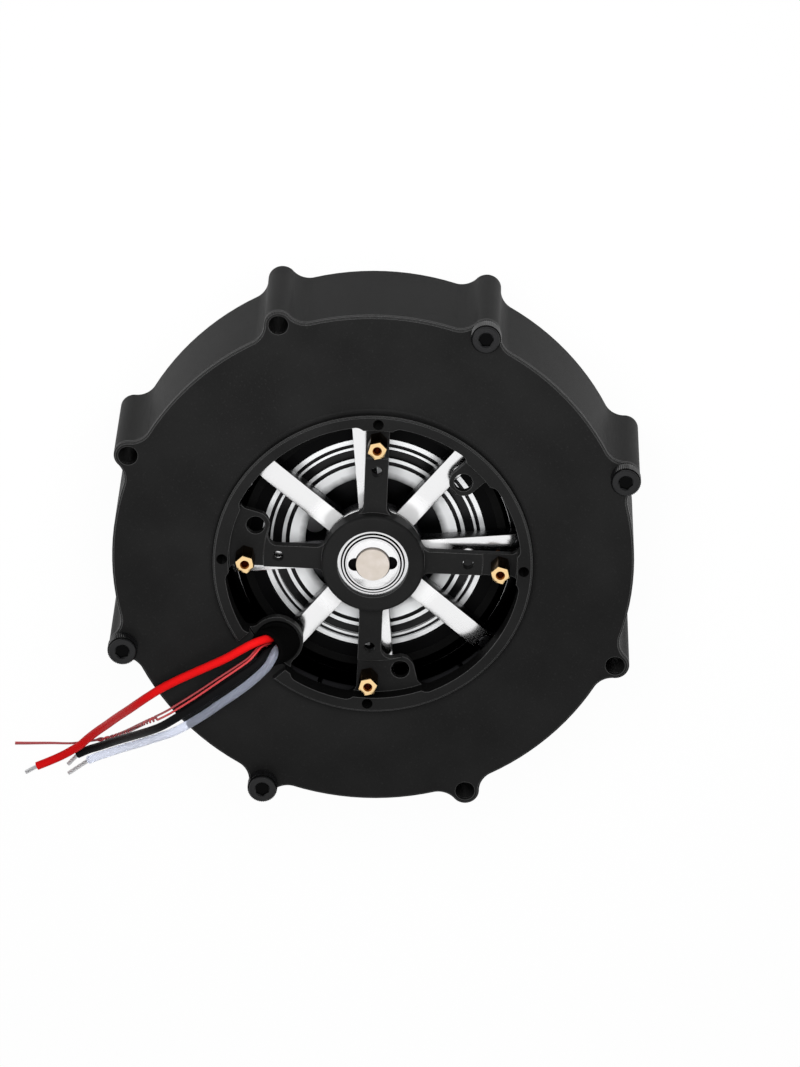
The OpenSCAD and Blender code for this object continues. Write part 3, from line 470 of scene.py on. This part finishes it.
# %% Laminations, windings and rubber
lamination = Finish("lamination", (0.4, 0.41, 0.43), metallic=1.0, roughness=0.45)
sheets = lamination.axes()[2].waves(0.5 * MM)
lamination.set(base_color=lamination.blend(sheets, (0.2, 0.2, 0.21), (0.46, 0.47, 0.49)))
lamination.bump(sheets, 0.03 * MM)

winding = Finish("winding", (0.62, 0.26, 0.1), metallic=0.85, roughness=0.6,
                 coat_weight=0.1, coat_roughness=0.4)
wires = winding.axes()[2].waves(0.6 * MM)
winding.set(base_color=winding.blend(wires, (0.3, 0.1, 0.035), (0.72, 0.33, 0.13)))
winding.bump(wires, 0.08 * MM)

rubber = Finish("rubber", (0.0016, 0.0016, 0.0016), specular_ior_level=0.012)
skin = rubber.noise(2600, 3)
rubber.set(roughness=0.55 + 0.14 * skin)
rubber.bump(skin, 0.015 * MM)
print("laminations, windings and rubber ready")

# %% [markdown]
# ## Pieces that keep their exact mesh
# The gears, the bearings, the stator and the cap are deep inside or fine as they
# are, so their exact meshes are only painted. The pieces that are modelled again
# further down aren't in this list.

# %% Finishes of the exact pieces
planets = (1, 2, 3)
painted = [
    (lamination, ["stator_core"]),
    (winding, ["stator_coils"]),
    (gear_steel, ["ring_gear", "sun_gear", "planet_pins"]),
    (gear_steel, [f"planet_gear_{number}" for number in planets]),
    (brass, [f"planet_bush_{number}" for number in planets]),
    (cap_alloy, ["gearbox_cap"]),
    (black_oxide_and_shade, ["cap_retainer"]),
    (rubber, ["output_seal"]),
    (bearing_steel, ["output_bearing_outer", "output_bearing_inner", "output_bearing_balls"]),
    (bearing_steel, ["nose_bearing_outer", "nose_bearing_inner", "nose_bearing_balls"]),
    (bearing_steel, ["rear_bearing_outer", "rear_bearing_balls"]),
    (shield_steel, ["rear_bearing_shield", "rear_bearing_inner"]),
    (ring_steel, ["rotor_iron_ring"]),
    (shaded_magnet_coat, ["rotor_magnets"]),
    (dark_steel, ["spoke_screws", "carrier_plate", "carrier_screws"]),
    (sensor_magnet, ["encoder_magnet"]),
]
for finish, names in painted:
    for name in names:
        paint(nodes[name], finish)
print("painted", sum(len(names) for _, names in painted), "nodes")

# %% [markdown]
# ## Leads
# Three silicone-covered phase leads of 2 mm, and a thin twisted pair, come out of a
# rubber boot in the bracket, run out over the case and drop to the bench, where the
# photograph shows their tinned ends. Each lead is one smooth curve through the same
# points as its solid, so that it lies where the solid does.

# %% Lead routes, in millimetres
red_route = [
    (-1.7, -30.1, 28.6), (-1.7, -30.1, 30.6), (-2.5, -30.4, 32.6), (-3.7, -31.2, 34.3),
    (-4.9, -33.2, 35.5), (-5.7, -36, 35.9), (-6.4, -40, 35.6), (-7.6, -45, 35),
    (-8.8, -50, 34.2), (-9.7, -54, 33.6), (-10.4, -58, 33), (-10.6, -61, 32.2),
    (-10.3, -65, 29.8), (-9.5, -69, 26), (-8.5, -73, 21.4), (-7.4, -77, 16.6),
    (-6.3, -81, 12), (-5.5, -85, 8.2), (-4.8, -89, 5.2), (-4.4, -92, 3.8),
    (-4.4, -95, 2.5), (-4.7, -98, 1.5), (-5.4, -101, 1), (-6.6, -104.5, 1),
]
black_route = [
    (1.1, -31.8, 28.6), (1.1, -31.8, 30.6), (0.3, -32.3, 32.4), (-0.5, -33.2, 34.2),
    (-0.6, -34.6, 35.3), (-0.6, -36.6, 35.8), (-0.9, -40, 35.6), (-1.3, -45, 35),
    (-1.6, -50, 34.2), (-1.9, -54, 33.6), (-2.2, -58, 33), (-2.4, -61, 32.2),
    (-2.3, -65, 29.8), (-2.1, -69, 26), (-1.8, -73, 21.4), (-1.5, -77, 16.6),
    (-1.2, -81, 11.8), (-1.1, -85, 7.6), (-1.3, -89, 4.2), (-1.8, -92, 2.3),
    (-2.3, -95, 1.2),
]
white_route = [
    (1, -29.6, 28.6), (1, -29.6, 30.6), (0.7, -29.9, 32.6), (0.3, -30.9, 34.3),
    (0.7, -32.3, 35.6), (1.2, -33.9, 36.1), (1.6, -36, 35.9), (1.8, -40, 35.6),
    (1.7, -45, 35), (1.4, -50, 34.2), (1.2, -54, 33.6), (0.8, -58, 33),
    (0.5, -61, 32.2), (0.3, -65, 29.8), (0.3, -69, 26), (0.6, -73, 21.4),
    (1, -77, 16.6), (1.3, -81, 11.8), (1.4, -85, 7.6), (1.2, -89, 4.2),
    (0.8, -92, 2.3), (0.5, -94, 1.4),
]
sensor_route = [
    (-0.9, -32.2, 28.6), (-0.9, -32.2, 30.6), (-1.9, -32.4, 32.4), (-2.8, -33.2, 34.2),
    (-2.9, -34.6, 35.3), (-2.8, -36.6, 35.8), (-3, -40, 35.5), (-3.4, -45, 34.9),
    (-3.7, -50, 34.1), (-4, -54, 33.5), (-4.4, -58, 32.9), (-4.6, -61, 32.1),
    (-4.6, -65, 29.4), (-4.2, -69, 25), (-3, -73, 19), (-1.7, -77, 12.8),
    (-0.6, -81, 7), (-0.3, -84, 3.6), (-0.8, -87, 1.6), (-2.4, -90, 0.9),
    (-5.1, -94, 0.9), (-8.8, -98, 0.9), (-12.4, -102, 0.9), (-14.6, -104.4, 0.9),
]


def in_metres(route):
    return [Vector(point) * MM for point in route]


def route_length(points):
    return sum((b - a).length for a, b in zip(points, points[1:]))


routes = [in_metres(route) for route in (red_route, black_route, white_route)]
print("phase leads:", [round(route_length(route) / MM) for route in routes], "mm")


# %% [markdown]
# ## Lead covers
# Silicone covers are smooth but dusty: a noise varies the roughness and bends the
# light a little. The red and black ones are matte and hide all. The white one lets
# light through, so the case shows in it as a grey, and the thin pair is glossier.

# %% Lead covers
def silicone(name, colour, roughness, gloss, **constants):
    cover = Finish(name, colour, specular_ior_level=gloss, **constants)
    dust = cover.noise(1400, 3)
    cover.set(roughness=roughness - 0.05 + 0.12 * dust)
    return cover.bump(dust, 0.008 * MM)


red_cover = silicone("red_cover", (0.6, 0.006, 0.007), roughness=0.4, gloss=0.04)
black_cover = silicone("black_cover", (0.005, 0.005, 0.0054), roughness=0.4, gloss=0.03)
white_cover = silicone("white_cover", (0.78, 0.82, 0.95), roughness=0.3, gloss=0.4,
                       transmission_weight=0.88, ior=1.25)
thin_red_cover = silicone("thin_red_cover", (0.5, 0.03, 0.035), roughness=0.2, gloss=0.7)
thin_dark_cover = silicone("thin_dark_cover", (0.3, 0.03, 0.035), roughness=0.2, gloss=0.7)
print("lead covers ready")


# %% [markdown]
# ## Phase leads
# A lead could be a swept mesh, but a curve with a round bevel and closed ends does
# the same and keeps the route easy to change. Automatic handles make the curve pass
# smoothly through every point.

# %% Phase leads
def lead(name, points, radius, cover, detail=5, steps=6):
    curve = bpy.data.curves.new(name, "CURVE")
    curve.dimensions = "3D"
    curve.bevel_depth = radius
    curve.bevel_resolution = detail
    curve.resolution_u = steps
    curve.use_fill_caps = True
    spline = curve.splines.new("BEZIER")
    spline.bezier_points.add(len(points) - 1)
    for knot, point in zip(spline.bezier_points, points):
        knot.co = point
        knot.handle_left_type = knot.handle_right_type = "AUTO"
    curve.materials.append(cover.material)
    piece = bpy.data.objects.new(name, curve)
    bpy.context.scene.collection.objects.link(piece)
    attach(piece, "case")
    return piece


phase_r = 1.0 * MM
red = lead("red_phase_lead", routes[0], phase_r, red_cover)
black = lead("black_phase_lead", routes[1], phase_r, black_cover)
white = lead("white_phase_lead", routes[2], phase_r, white_cover)
for piece, node, slot in ((red, "red_lead", "red_cover"), (black, "black_lead", "black_cover"),
                          (white, "white_lead", "white_cover")):
    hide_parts(node)
print("phase leads of", 2 * phase_r / MM, "mm made")


# %% [markdown]
# ## The twisted pair
# Two thin leads follow one shared route, on either side of it. Over the case they
# lie loosely side by side. Beyond it they close up until they touch, within the first
# sixth of the winding, and wind tightly round each other down to the bench, where
# they run out straight. The route is first cut into short even steps, so that the
# winding has points to lie on.

# %% Twisted pair
wound_from, wound_over = 0.41, 0.39
loose_turns, tight_turns = 0.5, 11
closing_speed = 6
thin_r = 0.27 * MM
apart, touching = 0.46 * MM, thin_r + 0.02 * MM


def resample(points, spacing, substeps=24):
    """Points at an even spacing along a smooth line through the given ones."""
    fine = []
    for k in range(len(points) - 1):
        p0, p1 = points[max(k - 1, 0)], points[k]
        p2, p3 = points[k + 1], points[min(k + 2, len(points) - 1)]
        straight = p2 - p0
        bent = 2 * p0 - 5 * p1 + 4 * p2 - p3
        eased = 3 * p1 - p0 - 3 * p2 + p3
        for n in range(substeps):
            t = n / substeps
            fine.append(0.5 * (2 * p1 + straight * t + bent * t * t + eased * t ** 3))
    fine.append(points[-1])
    even, gone = [fine[0]], 0.0
    for a, b in zip(fine, fine[1:]):
        gone += (b - a).length
        if gone >= spacing:
            even.append(b)
            gone = 0.0
    return even


def twisted(points, phase):
    """The places of one strand round the shared line."""
    strand = []
    for k, point in enumerate(points):
        share = k / (len(points) - 1)
        wound = min(max((share - wound_from) / wound_over, 0.0), 1.0)
        offset = apart + (touching - apart) * min(closing_speed * wound, 1.0)
        angle = 2 * math.pi * (loose_turns * share + tight_turns * wound) + phase
        way = (points[min(k + 1, len(points) - 1)] - points[max(k - 1, 0)]).normalized()
        across = way.cross(Vector((1, 0, 0))).normalized()
        over = across.cross(way)
        strand.append(point + offset * (math.cos(angle) * across + math.sin(angle) * over))
    return strand


pair_line = resample(in_metres(sensor_route), 0.6 * MM)
thin = []
for name, cover, phase in (("thin_red_lead", thin_red_cover, 0.0),
                           ("thin_dark_lead", thin_dark_cover, math.pi)):
    strand = twisted(pair_line, phase)
    piece = lead(name, strand, thin_r, cover, detail=3, steps=3)
    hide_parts("sensor_pair")
    thin.append((piece, strand))
print("thin leads:", [round(route_length(strand) / MM) for _, strand in thin], "mm")


# %% [markdown]
# ## Tinned ends
# The last millimetres of each phase lead are stripped: fine strands twisted together
# and tinned. Each strand is a small disc, swept along the lead and most of a turn
# round its axis by a Screw modifier. Six of them lie round a straight one.

# %% Tinned ends
strand_r = 0.17 * MM
outer_strands = 6


def strand_bundle(name, start, tip):
    way = tip - start
    bpy.ops.object.select_all(action="DESELECT")
    bpy.ops.mesh.primitive_circle_add(vertices=10, radius=strand_r, fill_type="NGON",
                                      location=(0, 0, 0))
    core = bpy.context.active_object
    strands = [copy_of(core) for _ in range(outer_strands)]
    for k, strand in enumerate(strands):
        angle = 2 * math.pi * k / outer_strands
        strand.location = (2 * strand_r * math.cos(angle), 2 * strand_r * math.sin(angle), 0)
    strands.append(core)
    for strand in strands:
        settle(strand)
        apply_modifier(strand, "SCREW", angle=math.radians(300), screw_offset=way.length,
                       axis="Z", steps=24, render_steps=24, use_smooth_shade=True,
                       use_normal_calculate=True)
    bundle = join(strands, name)
    bpy.ops.object.mode_set(mode="EDIT")
    bpy.ops.mesh.select_all(action="SELECT")
    bpy.ops.mesh.remove_doubles(threshold=0.001 * MM)
    bpy.ops.mesh.normals_make_consistent(inside=False)
    bpy.ops.object.mode_set(mode="OBJECT")
    bundle.rotation_euler = way.to_track_quat("Z", "Y").to_euler()
    bundle.location = start
    settle(bundle)
    paint(bundle, tinned)
    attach(bundle, "case")
    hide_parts("tinned_ends")
    return bundle


tips = in_metres([(-7.2, -107.7, 0.8), (-1.9, -98.7, 0.8), (-0.1, -100.3, 0.8)])
red_tip = strand_bundle("red_lead_end", routes[0][-1], tips[0])
black_tip = strand_bundle("black_lead_end", routes[1][-1], tips[1])
white_tip = strand_bundle("white_lead_end", routes[2][-1], tips[2])
print("bare ends:", [round((tip - route[-1]).length / MM, 1)
                     for route, tip in zip(routes, tips)], "mm")

# %% [markdown]
# ## Lengths of the leads
# The length of each lead is measured along its route.

# %% Cords
for piece, line, tip in zip((red, black, white), routes, (red_tip, black_tip, white_tip)):
    round(route_length(line), 3)
for piece, strand in thin:
    round(route_length(strand), 3)


# %% [markdown]
# ## Case, bracket, boot and output flange with broken edges
# No machined or moulded edge is perfectly sharp: each has a small break that catches
# the light. The exact solid is copied and its loose triangles are merged into clean
# faces. An edge is then bevelled where it is sharp and no short edge touches it,
# because a bevel that is wider than its neighbour would fold over. Where a piece has
# a second finish, the bevels get it.

# %% Broken edges
def broken_edges(node, name, width, shortest, body, slot, *finishes):
    piece = bpy.data.objects.new(name, nodes[node].data.copy())
    bpy.context.scene.collection.objects.link(piece)
    paint(piece, *finishes)
    pick(piece)
    bpy.ops.object.mode_set(mode="EDIT")
    bpy.ops.mesh.select_all(action="SELECT")
    bpy.ops.mesh.remove_doubles(threshold=0.02 * MM)
    bpy.ops.mesh.customdata_custom_splitnormals_clear()
    bpy.ops.mesh.dissolve_limited(angle_limit=math.radians(0.3))

    def sharp_and_free(edge):
        near = [other.calc_length() for vert in edge.verts for other in vert.link_edges]
        return edge.calc_face_angle(0) > math.radians(35) and min(near) > shortest

    count = pick_parts(piece, "EDGE", sharp_and_free)
    bpy.ops.mesh.bevel(offset=width, segments=2, clamp_overlap=False,
                       material=1 if len(finishes) > 1 else -1)
    bpy.ops.object.mode_set(mode="OBJECT")
    smooth(piece, 32)
    apply_modifier(piece, "WEIGHTED_NORMAL", keep_sharp=True)
    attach(piece, body)
    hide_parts(node)
    print(name, "has", count, "bevelled edges and", len(piece.data.polygons), "faces")
    return piece


housing = broken_edges("front_housing", "case_shell", 0.16 * MM, 0.25 * MM, "case",
                       "black_metal", case_coat, worn_and_highlit_coat, shaded_inner_coat)
bracket = broken_edges("rear_cover", "rear_bracket", 0.12 * MM, 0.3 * MM, "case",
                       "bracket_metal", bracket_coat, worn_and_highlit_coat, shaded_inner_coat)
broken_edges("cable_boot", "rubber_boot", 0.15 * MM, 0.4 * MM, "case", "rubber", rubber)
broken_edges("output_flange", "output_face", 0.15 * MM, 0.3 * MM, "output", "flange_alloy",
             flange_alloy)


# %% [markdown]
# ## Painted shade inside
# Deep in the module and on the walls of the bracket's windows, the black coat is
# painted darker, as painted shade, which makes the bright rotor stand out. Faces are
# picked by their distance from the axis, and in the bracket by facing that axis.

# %% Painted shade inside
case_bore, case_floor = 57.2 * MM, 2 * MM
window_walls = (30 * MM, 36.2 * MM)


def window_wall(face, away):
    faces_axis = face.normal.x * face.center.x + face.normal.y * face.center.y < 0
    return faces_axis and upright(face) and window_walls[0] < away < window_walls[1]


# Painted shade: faces deep in the case and the windows' walls get the darker coat.
paint_faces(housing, 2, lambda face, away: away < case_bore and face.center.z > case_floor)
paint_faces(bracket, 2, window_wall)
print("dark faces:", [sum(face.material_index == 2 for face in piece.data.polygons)
                      for piece in (housing, bracket)])


# %% [markdown]
# ## Tools for turned and milled pieces
# The hub, the screws and the standoffs start as cylinders between two heights. Their
# sharp edges are bevelled, all of them or those that a test picks, and holes are cut
# by a Boolean modifier. Each part is cut before it is joined to others.

# %% Tools for turned and milled pieces
def cylinder(name, radius, low, high, centre=(0, 0), vertices=96):
    bpy.ops.object.select_all(action="DESELECT")
    bpy.ops.mesh.primitive_cylinder_add(vertices=vertices, radius=radius, depth=high - low,
                                        location=(*centre, (low + high) / 2))
    return settle(name_it(name))


def cone(name, low_radius, high_radius, low, high):
    bpy.ops.object.select_all(action="DESELECT")
    bpy.ops.mesh.primitive_cone_add(vertices=48, radius1=low_radius, radius2=high_radius,
                                    depth=high - low, location=(0, 0, (low + high) / 2))
    return settle(name_it(name))


def bevel_sharp(piece, width, segments=2, test=lambda edge: True):
    pick(piece)
    bpy.ops.object.mode_set(mode="EDIT")
    pick_parts(piece, "EDGE",
               lambda edge: edge.calc_face_angle(0) > math.radians(50) and test(edge))
    bpy.ops.mesh.bevel(offset=width, segments=segments, clamp_overlap=False)
    bpy.ops.object.mode_set(mode="OBJECT")


def at_top(height):
    """A test for the edges that lie at a height, give or take a tenth of a millimetre."""
    return lambda edge: min(vert.co.z for vert in edge.verts) > height - 0.1 * MM


def cut(piece, *tools):
    for tool in tools:
        apply_modifier(piece, "BOOLEAN", object=tool, operation="DIFFERENCE", solver="EXACT")
        bpy.data.objects.remove(tool)


print("tools ready")

# %% [markdown]
# ## Spokes
# The rotor's hub is milled from bright alloy, with eight spokes that stand on the
# iron ring. One spoke is a bar, cut across where its foot begins and lowered beyond
# the cut, then bevelled and copied round the axis.

# %% Spokes
spoke_count = 8
spoke_turn = math.radians(6.5)
spoke_w, spoke_t = 5 * MM, 4 * MM
spoke_low = iron_box[1][2]
spoke_high = spoke_low + spoke_t
spoke_start, spoke_end = 8 * MM, iron_box[1][0] - 0.2 * MM
foot_l, foot_drop = 3.5 * MM, 1.2 * MM
foot_start = spoke_end - foot_l
riser = 0.05 * MM

bpy.ops.object.select_all(action="DESELECT")
bpy.ops.mesh.primitive_cube_add(size=1, location=((spoke_start + spoke_end) / 2, 0,
                                                  spoke_low + spoke_t / 2))
spoke = name_it("spoke")
spoke.scale = (spoke_end - spoke_start, spoke_w, spoke_t)
settle(spoke)
bpy.ops.object.mode_set(mode="EDIT")
for x in (foot_start, foot_start + riser):
    bpy.ops.mesh.select_all(action="SELECT")
    bpy.ops.mesh.bisect(plane_co=(x, 0, 0), plane_no=(1, 0, 0))
pick_parts(spoke, "VERT", lambda vert: vert.co.x > foot_start + riser / 2
           and vert.co.z > spoke_high - foot_drop)
bpy.ops.transform.translate(value=(0, 0, -foot_drop))
bpy.ops.object.mode_set(mode="OBJECT")
bevel_sharp(spoke, 0.14 * MM)
spokes = [spoke] + [copy_of(spoke) for _ in range(spoke_count - 1)]
for k, bar in enumerate(spokes):
    bar.rotation_euler.z = spoke_turn + 2 * math.pi * k / spoke_count
    settle(bar)
print("spokes end", round(spoke_end / MM, 2), "mm from the axis")

# %% [markdown]
# ## Hub and shaft
# The disc, the shoulder under the bearing and the shaft are cylinders with broken
# rims. The gear shaft's bore is cut into the disc, and the sensor magnet's pocket
# with its two half-round notches into the shaft's end. Each of them reaches a little
# into the next, so that no gap shows.

# %% Hub and shaft
hub_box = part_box("rotor_hub")
magnet_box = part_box("encoder_magnet")
disc_r, shank_bore_r, shaft_r = 11.5 * MM, 3.6 * MM, 6 * MM
shaft_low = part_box("rear_bearing_inner")[0][2]
overlap = 0.1 * MM
above_all = 40 * MM

disc = cylinder("disc", disc_r, hub_box[0][2], spoke_high, vertices=128)
bevel_sharp(disc, 0.5 * MM, segments=4)
cut(disc, cylinder("shank_bore", shank_bore_r, 20 * MM, spoke_high - 2 * overlap))
shoulder = cylinder("shoulder", shaft_r + 0.9 * MM, spoke_high - overlap, shaft_low)
shaft = cylinder("shaft", shaft_r, shaft_low - overlap, hub_box[1][2], vertices=128)
bevel_sharp(shaft, 0.08 * MM)

pocket_r, pocket_low = magnet_box[1][0] + 0.3 * MM, magnet_box[0][2]
notch_r, notch_at, notch_turn = 1.6 * MM, 4.1 * MM, math.radians(50)
bores = [cylinder("pocket", pocket_r, pocket_low, above_all)]
for angle in (notch_turn, notch_turn + math.pi):
    place = (notch_at * math.cos(angle), notch_at * math.sin(angle))
    bores.append(cylinder("notch", notch_r, pocket_low + 0.4 * MM, above_all, place, 48))
cut(shaft, *bores)
print("shaft end at", round(hub_box[1][2] / MM, 2), "mm")

# %% [markdown]
# ## Spoked hub
# All of it becomes one piece. The pocket is painted black, and the spokes' flanks and
# feet and the disc's side are painted darker: painted shade.

# %% Spoked hub
pocket_dark = (30 * MM, 32.3 * MM)
spider = join(spokes + [disc, shoulder, shaft], "spoked_hub")
smooth(spider, 32)
paint(spider, bright_alloy, black_oxide_and_shade, shaded_flank_alloy)
# Painted shade: the pocket's faces are painted near black.
paint_faces(spider, 1, lambda face, away: away < shaft_r - 0.3 * MM
            and pocket_dark[0] < face.center.z < pocket_dark[1])
# Painted shade: the flanks, the feet and the disc's side get the near-black metal.
paint_faces(spider, 2, lambda face, away: away > disc_r - 0.2 * MM
            and (upright(face) or face.center.z < spoke_high - 0.9 * MM))
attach(spider, "rotor")
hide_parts("rotor_hub")
print("spoked hub has", len(spider.data.polygons), "faces")

# %% [markdown]
# ## One case screw
# A socket head screw is turned, knurled and broached. Every second vertex round the
# head is drawn in for the knurl, the rim is bevelled, and a six-sided cutter makes
# the socket. It is modelled with its seat at the origin.

# %% One case screw
screws_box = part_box("case_screws")
head_r, head_h, socket_w, screw_r = 3.5 * MM, 4 * MM, 3 * MM, 2 * MM
seat = screws_box[1][2] - head_h
teeth, tooth_depth = 48, 0.045

head = cylinder("head", head_r - 0.35 * MM, 0, head_h, vertices=72)
bevel_sharp(head, 0.3 * MM, segments=3, test=at_top(head_h))
socket = cylinder("socket", socket_w / math.sqrt(3), head_h / 2, 2 * head_h, vertices=6)
cut(head, socket, cone("mouth", 1.45 * MM, 1.95 * MM, head_h - 0.4 * MM, head_h + 0.1 * MM))
knurl = cylinder("knurl", head_r, 0.4 * MM, head_h - 0.7 * MM, vertices=2 * teeth)
for vert in knurl.data.vertices:
    step = round(math.atan2(vert.co.y, vert.co.x) / math.pi * teeth)
    if step % 2:
        vert.co.x *= 1 - tooth_depth
        vert.co.y *= 1 - tooth_depth
shank = cylinder("shank", screw_r, screws_box[0][2] - seat, 0.1 * MM, vertices=32)
screw = join([head, knurl, shank], "screw")
smooth(screw, 40)
paint(screw, screw_black, black_oxide_and_shade)
# Painted shade: the socket's inside is painted near black.
paint_faces(screw, 1, lambda face, away: away < 1.6 * MM
            and head_h / 3 < face.center.z < head_h - 0.05 * MM)
print("a case screw has", len(screw.data.polygons), "faces")

# %% [markdown]
# ## Case screws in place
# The case has eight evenly spaced bosses. Four screws sit in two neighbouring pairs
# of them on opposite sides, each turned differently, as screws end up. The other
# bosses stay free for the user's bolts.

# %% Case screws in place
bosses, boss_at = 8, 62 * MM
half_pitch = 180 / bosses
for k, (middle, side) in enumerate(((90, -1), (90, 1), (270, -1), (270, 1))):
    angle = math.radians(middle + half_pitch * side)
    piece = screw if k == 3 else copy_of(screw)
    piece.name = f"case_screw_{k + 1}"
    piece.location = (boss_at * math.cos(angle), boss_at * math.sin(angle), seat)
    piece.rotation_euler.z = math.radians(17 * k)
    settle(piece)
    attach(piece, "case")
    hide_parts("case_screws")
print("case screws stand", boss_at / MM, "mm from the axis")

# %% [markdown]
# ## Board standoffs
# Each standoff is a brass hexagon with a turned crown and a tapped hole. The crown is
# a bevel of the top edges, and the hole is cut with a cylinder and a short cone. One
# is modelled on the axis and copied onto the four arms.

# %% Board standoffs
across_flats, standoff_at = 4 * MM, 29.5 * MM
foot, crown = 29.8 * MM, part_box("board_standoffs")[1][2]
bore_r, mouth_r = 0.8 * MM, 1.1 * MM

post = cylinder("post", across_flats / math.sqrt(3), foot, crown, vertices=6)
bevel_sharp(post, 0.3 * MM, test=at_top(crown))
cut(post, cylinder("bore", bore_r, 31 * MM, above_all, vertices=48),
    cone("lead_in", bore_r, mouth_r, crown - 0.3 * MM, crown + 0.02 * MM))
smooth(post, 30)
paint(post, brass, shaded_brass_bore, shaded_brass_flank)
# Painted shade: the bore is painted dark brown and the flanks darker still.
paint_faces(post, 1, lambda face, away: away < mouth_r - 0.05 * MM
            and face.center.z < crown - 0.05 * MM)
paint_faces(post, 2, lambda face, away: away > mouth_r + 0.4 * MM and upright(face))
for k in range(4):
    angle = math.radians(45 + 90 * k)
    piece = post if k == 3 else copy_of(post)
    piece.name = f"standoff_{k + 1}"
    piece.location = (standoff_at * math.cos(angle), standoff_at * math.sin(angle), 0)
    piece.rotation_euler.z = math.radians(90 * k)
    settle(piece)
    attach(piece, "case")
    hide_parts("board_standoffs")
print("each standoff has", len(post.data.polygons), "faces")


# %% [markdown]
# ## Bench
# A pale bench carries the module. To the camera, to mirrors and through the white
# lead's cover it is almost pure white. It still keeps a trace of the module's shadow,
# because a small part of what is seen is its lit surface.

# %% Bench
def seen_directly(tree):
    """1 for a ray from the camera, a mirror or a see-through cover, else 0."""
    rays = add_node(tree, "ShaderNodeLightPath").outputs
    seen = Value(tree, rays["Is Camera Ray"]) + rays["Is Glossy Ray"]
    seen = seen + rays["Is Transmission Ray"]
    return seen.maths("MINIMUM", seen, 1.0)


bpy.ops.object.select_all(action="DESELECT")
bpy.ops.mesh.primitive_plane_add(size=6, location=(0, 0, 0))
bench = name_it("bench")
bench_white = Finish("bench_white", (0.9, 0.9, 0.9), roughness=0.9)
glow = bench_white.node("ShaderNodeEmission", Color=(1, 1, 1), Strength=1.0)
mixer = bench_white.node("ShaderNodeMixShader")
output = bench_white.tree.nodes["Material Output"]
for socket, value in ((mixer.inputs[0], 0.97 * seen_directly(bench_white.tree)),
                      (mixer.inputs[1], bench_white.shader.outputs[0]),
                      (mixer.inputs[2], glow.outputs[0]),
                      (output.inputs["Surface"], mixer.outputs[0])):
    feed(bench_white.tree, socket, value)
paint(bench, bench_white)
print("bench ready")

# %% [markdown]
# ## World
# The room is pure white where it is seen directly, and lights the module at only a
# third of that, so that black stays black.

# %% World
world = bpy.data.worlds.new("studio")
world.use_nodes = True
bpy.context.scene.world = world
sky = world.node_tree.nodes["Background"]
sky.inputs["Color"].default_value = (1, 1, 1, 1)
feed(world.node_tree, sky.inputs["Strength"], 0.34 + 0.66 * seen_directly(world.node_tree))
print("world ready")


# %% [markdown]
# ## Soft panels
# One large panel stands on the side that the flat tops mirror to the camera, and a
# small one hangs near the bracket. Both are hidden from mirrors, so they light the
# black coat softly and leave no bright shapes in the metal.

# %% Soft panels
def panel(name, place, width, height, watts):
    light = bpy.data.lights.new(name, "AREA")
    light.shape = "RECTANGLE"
    light.size = width
    light.size_y = height
    light.energy = watts
    lamp = bpy.data.objects.new(name, light)
    bpy.context.scene.collection.objects.link(lamp)
    lamp.location = place
    lamp.rotation_euler = (-Vector(place)).to_track_quat("-Z", "Y").to_euler()
    lamp.visible_glossy = False
    lamp.visible_camera = False
    return lamp


mirrored = Vector((-to_back.x, -to_back.y, to_back.z))
key_panel = panel("key_panel", mirrored * 1.5, width=1.0, height=0.8, watts=3.6)
near_panel = panel("near_panel", (-0.055, 0.05, 0.19), width=0.12, height=0.12, watts=0.45)
print("panels:", [round(lamp.location.length, 2) for lamp in (key_panel, near_panel)], "m away")

# %% [markdown]
# ## Dark cards
# In an all-white room polished metal turns flat white. A photographer stands dark
# cards round the bench: the camera doesn't see them, but cones and rounded rims
# mirror them in dark stripes. The flat tops mirror the white above the cards. They
# are cut from one tall ring by deleting its faces where a gap is wanted: wide gaps to
# the left and right, and a narrow one on the picture's lower side.

# %% Dark cards
card_r, card_low, card_high = 1.5, 0.5, 1.8
card_count = 72
gaps = [(-150, -45), (-12, 12), (45, 100)]
down = math.degrees(math.atan2(-to_top.y, -to_top.x))


def from_below(place):
    """Degrees round the axis from the picture's lower side, positive to its right."""
    return (math.degrees(math.atan2(place.y, place.x)) - down + 180) % 360 - 180


def in_gap(face):
    turned_by = from_below(face.calc_center_median())
    return any(start < turned_by < end for start, end in gaps)


bpy.ops.object.select_all(action="DESELECT")
bpy.ops.mesh.primitive_cylinder_add(vertices=card_count, radius=card_r,
                                    depth=card_high - card_low, end_fill_type="NOTHING",
                                    location=(0, 0, (card_low + card_high) / 2))
cards = settle(name_it("dark_cards"))
bpy.ops.object.mode_set(mode="EDIT")
pick_parts(cards, "FACE", in_gap)
bpy.ops.mesh.delete(type="FACE")
bpy.ops.object.mode_set(mode="OBJECT")
paint(cards, Finish("dark_cards", (0.0, 0.0, 0.0), roughness=1.0, specular_ior_level=0.0))
for ray in ("camera", "diffuse", "transmission", "shadow", "volume_scatter"):
    setattr(cards, "visible_" + ray, False)
print("dark cards:", len(cards.data.polygons), "faces left of", card_count)

# %% [markdown]
# ## View
# The Standard view shows each colour about as it is written.

# %% View
bpy.context.scene.view_settings.view_transform = "Standard"
print("lights and view ready")
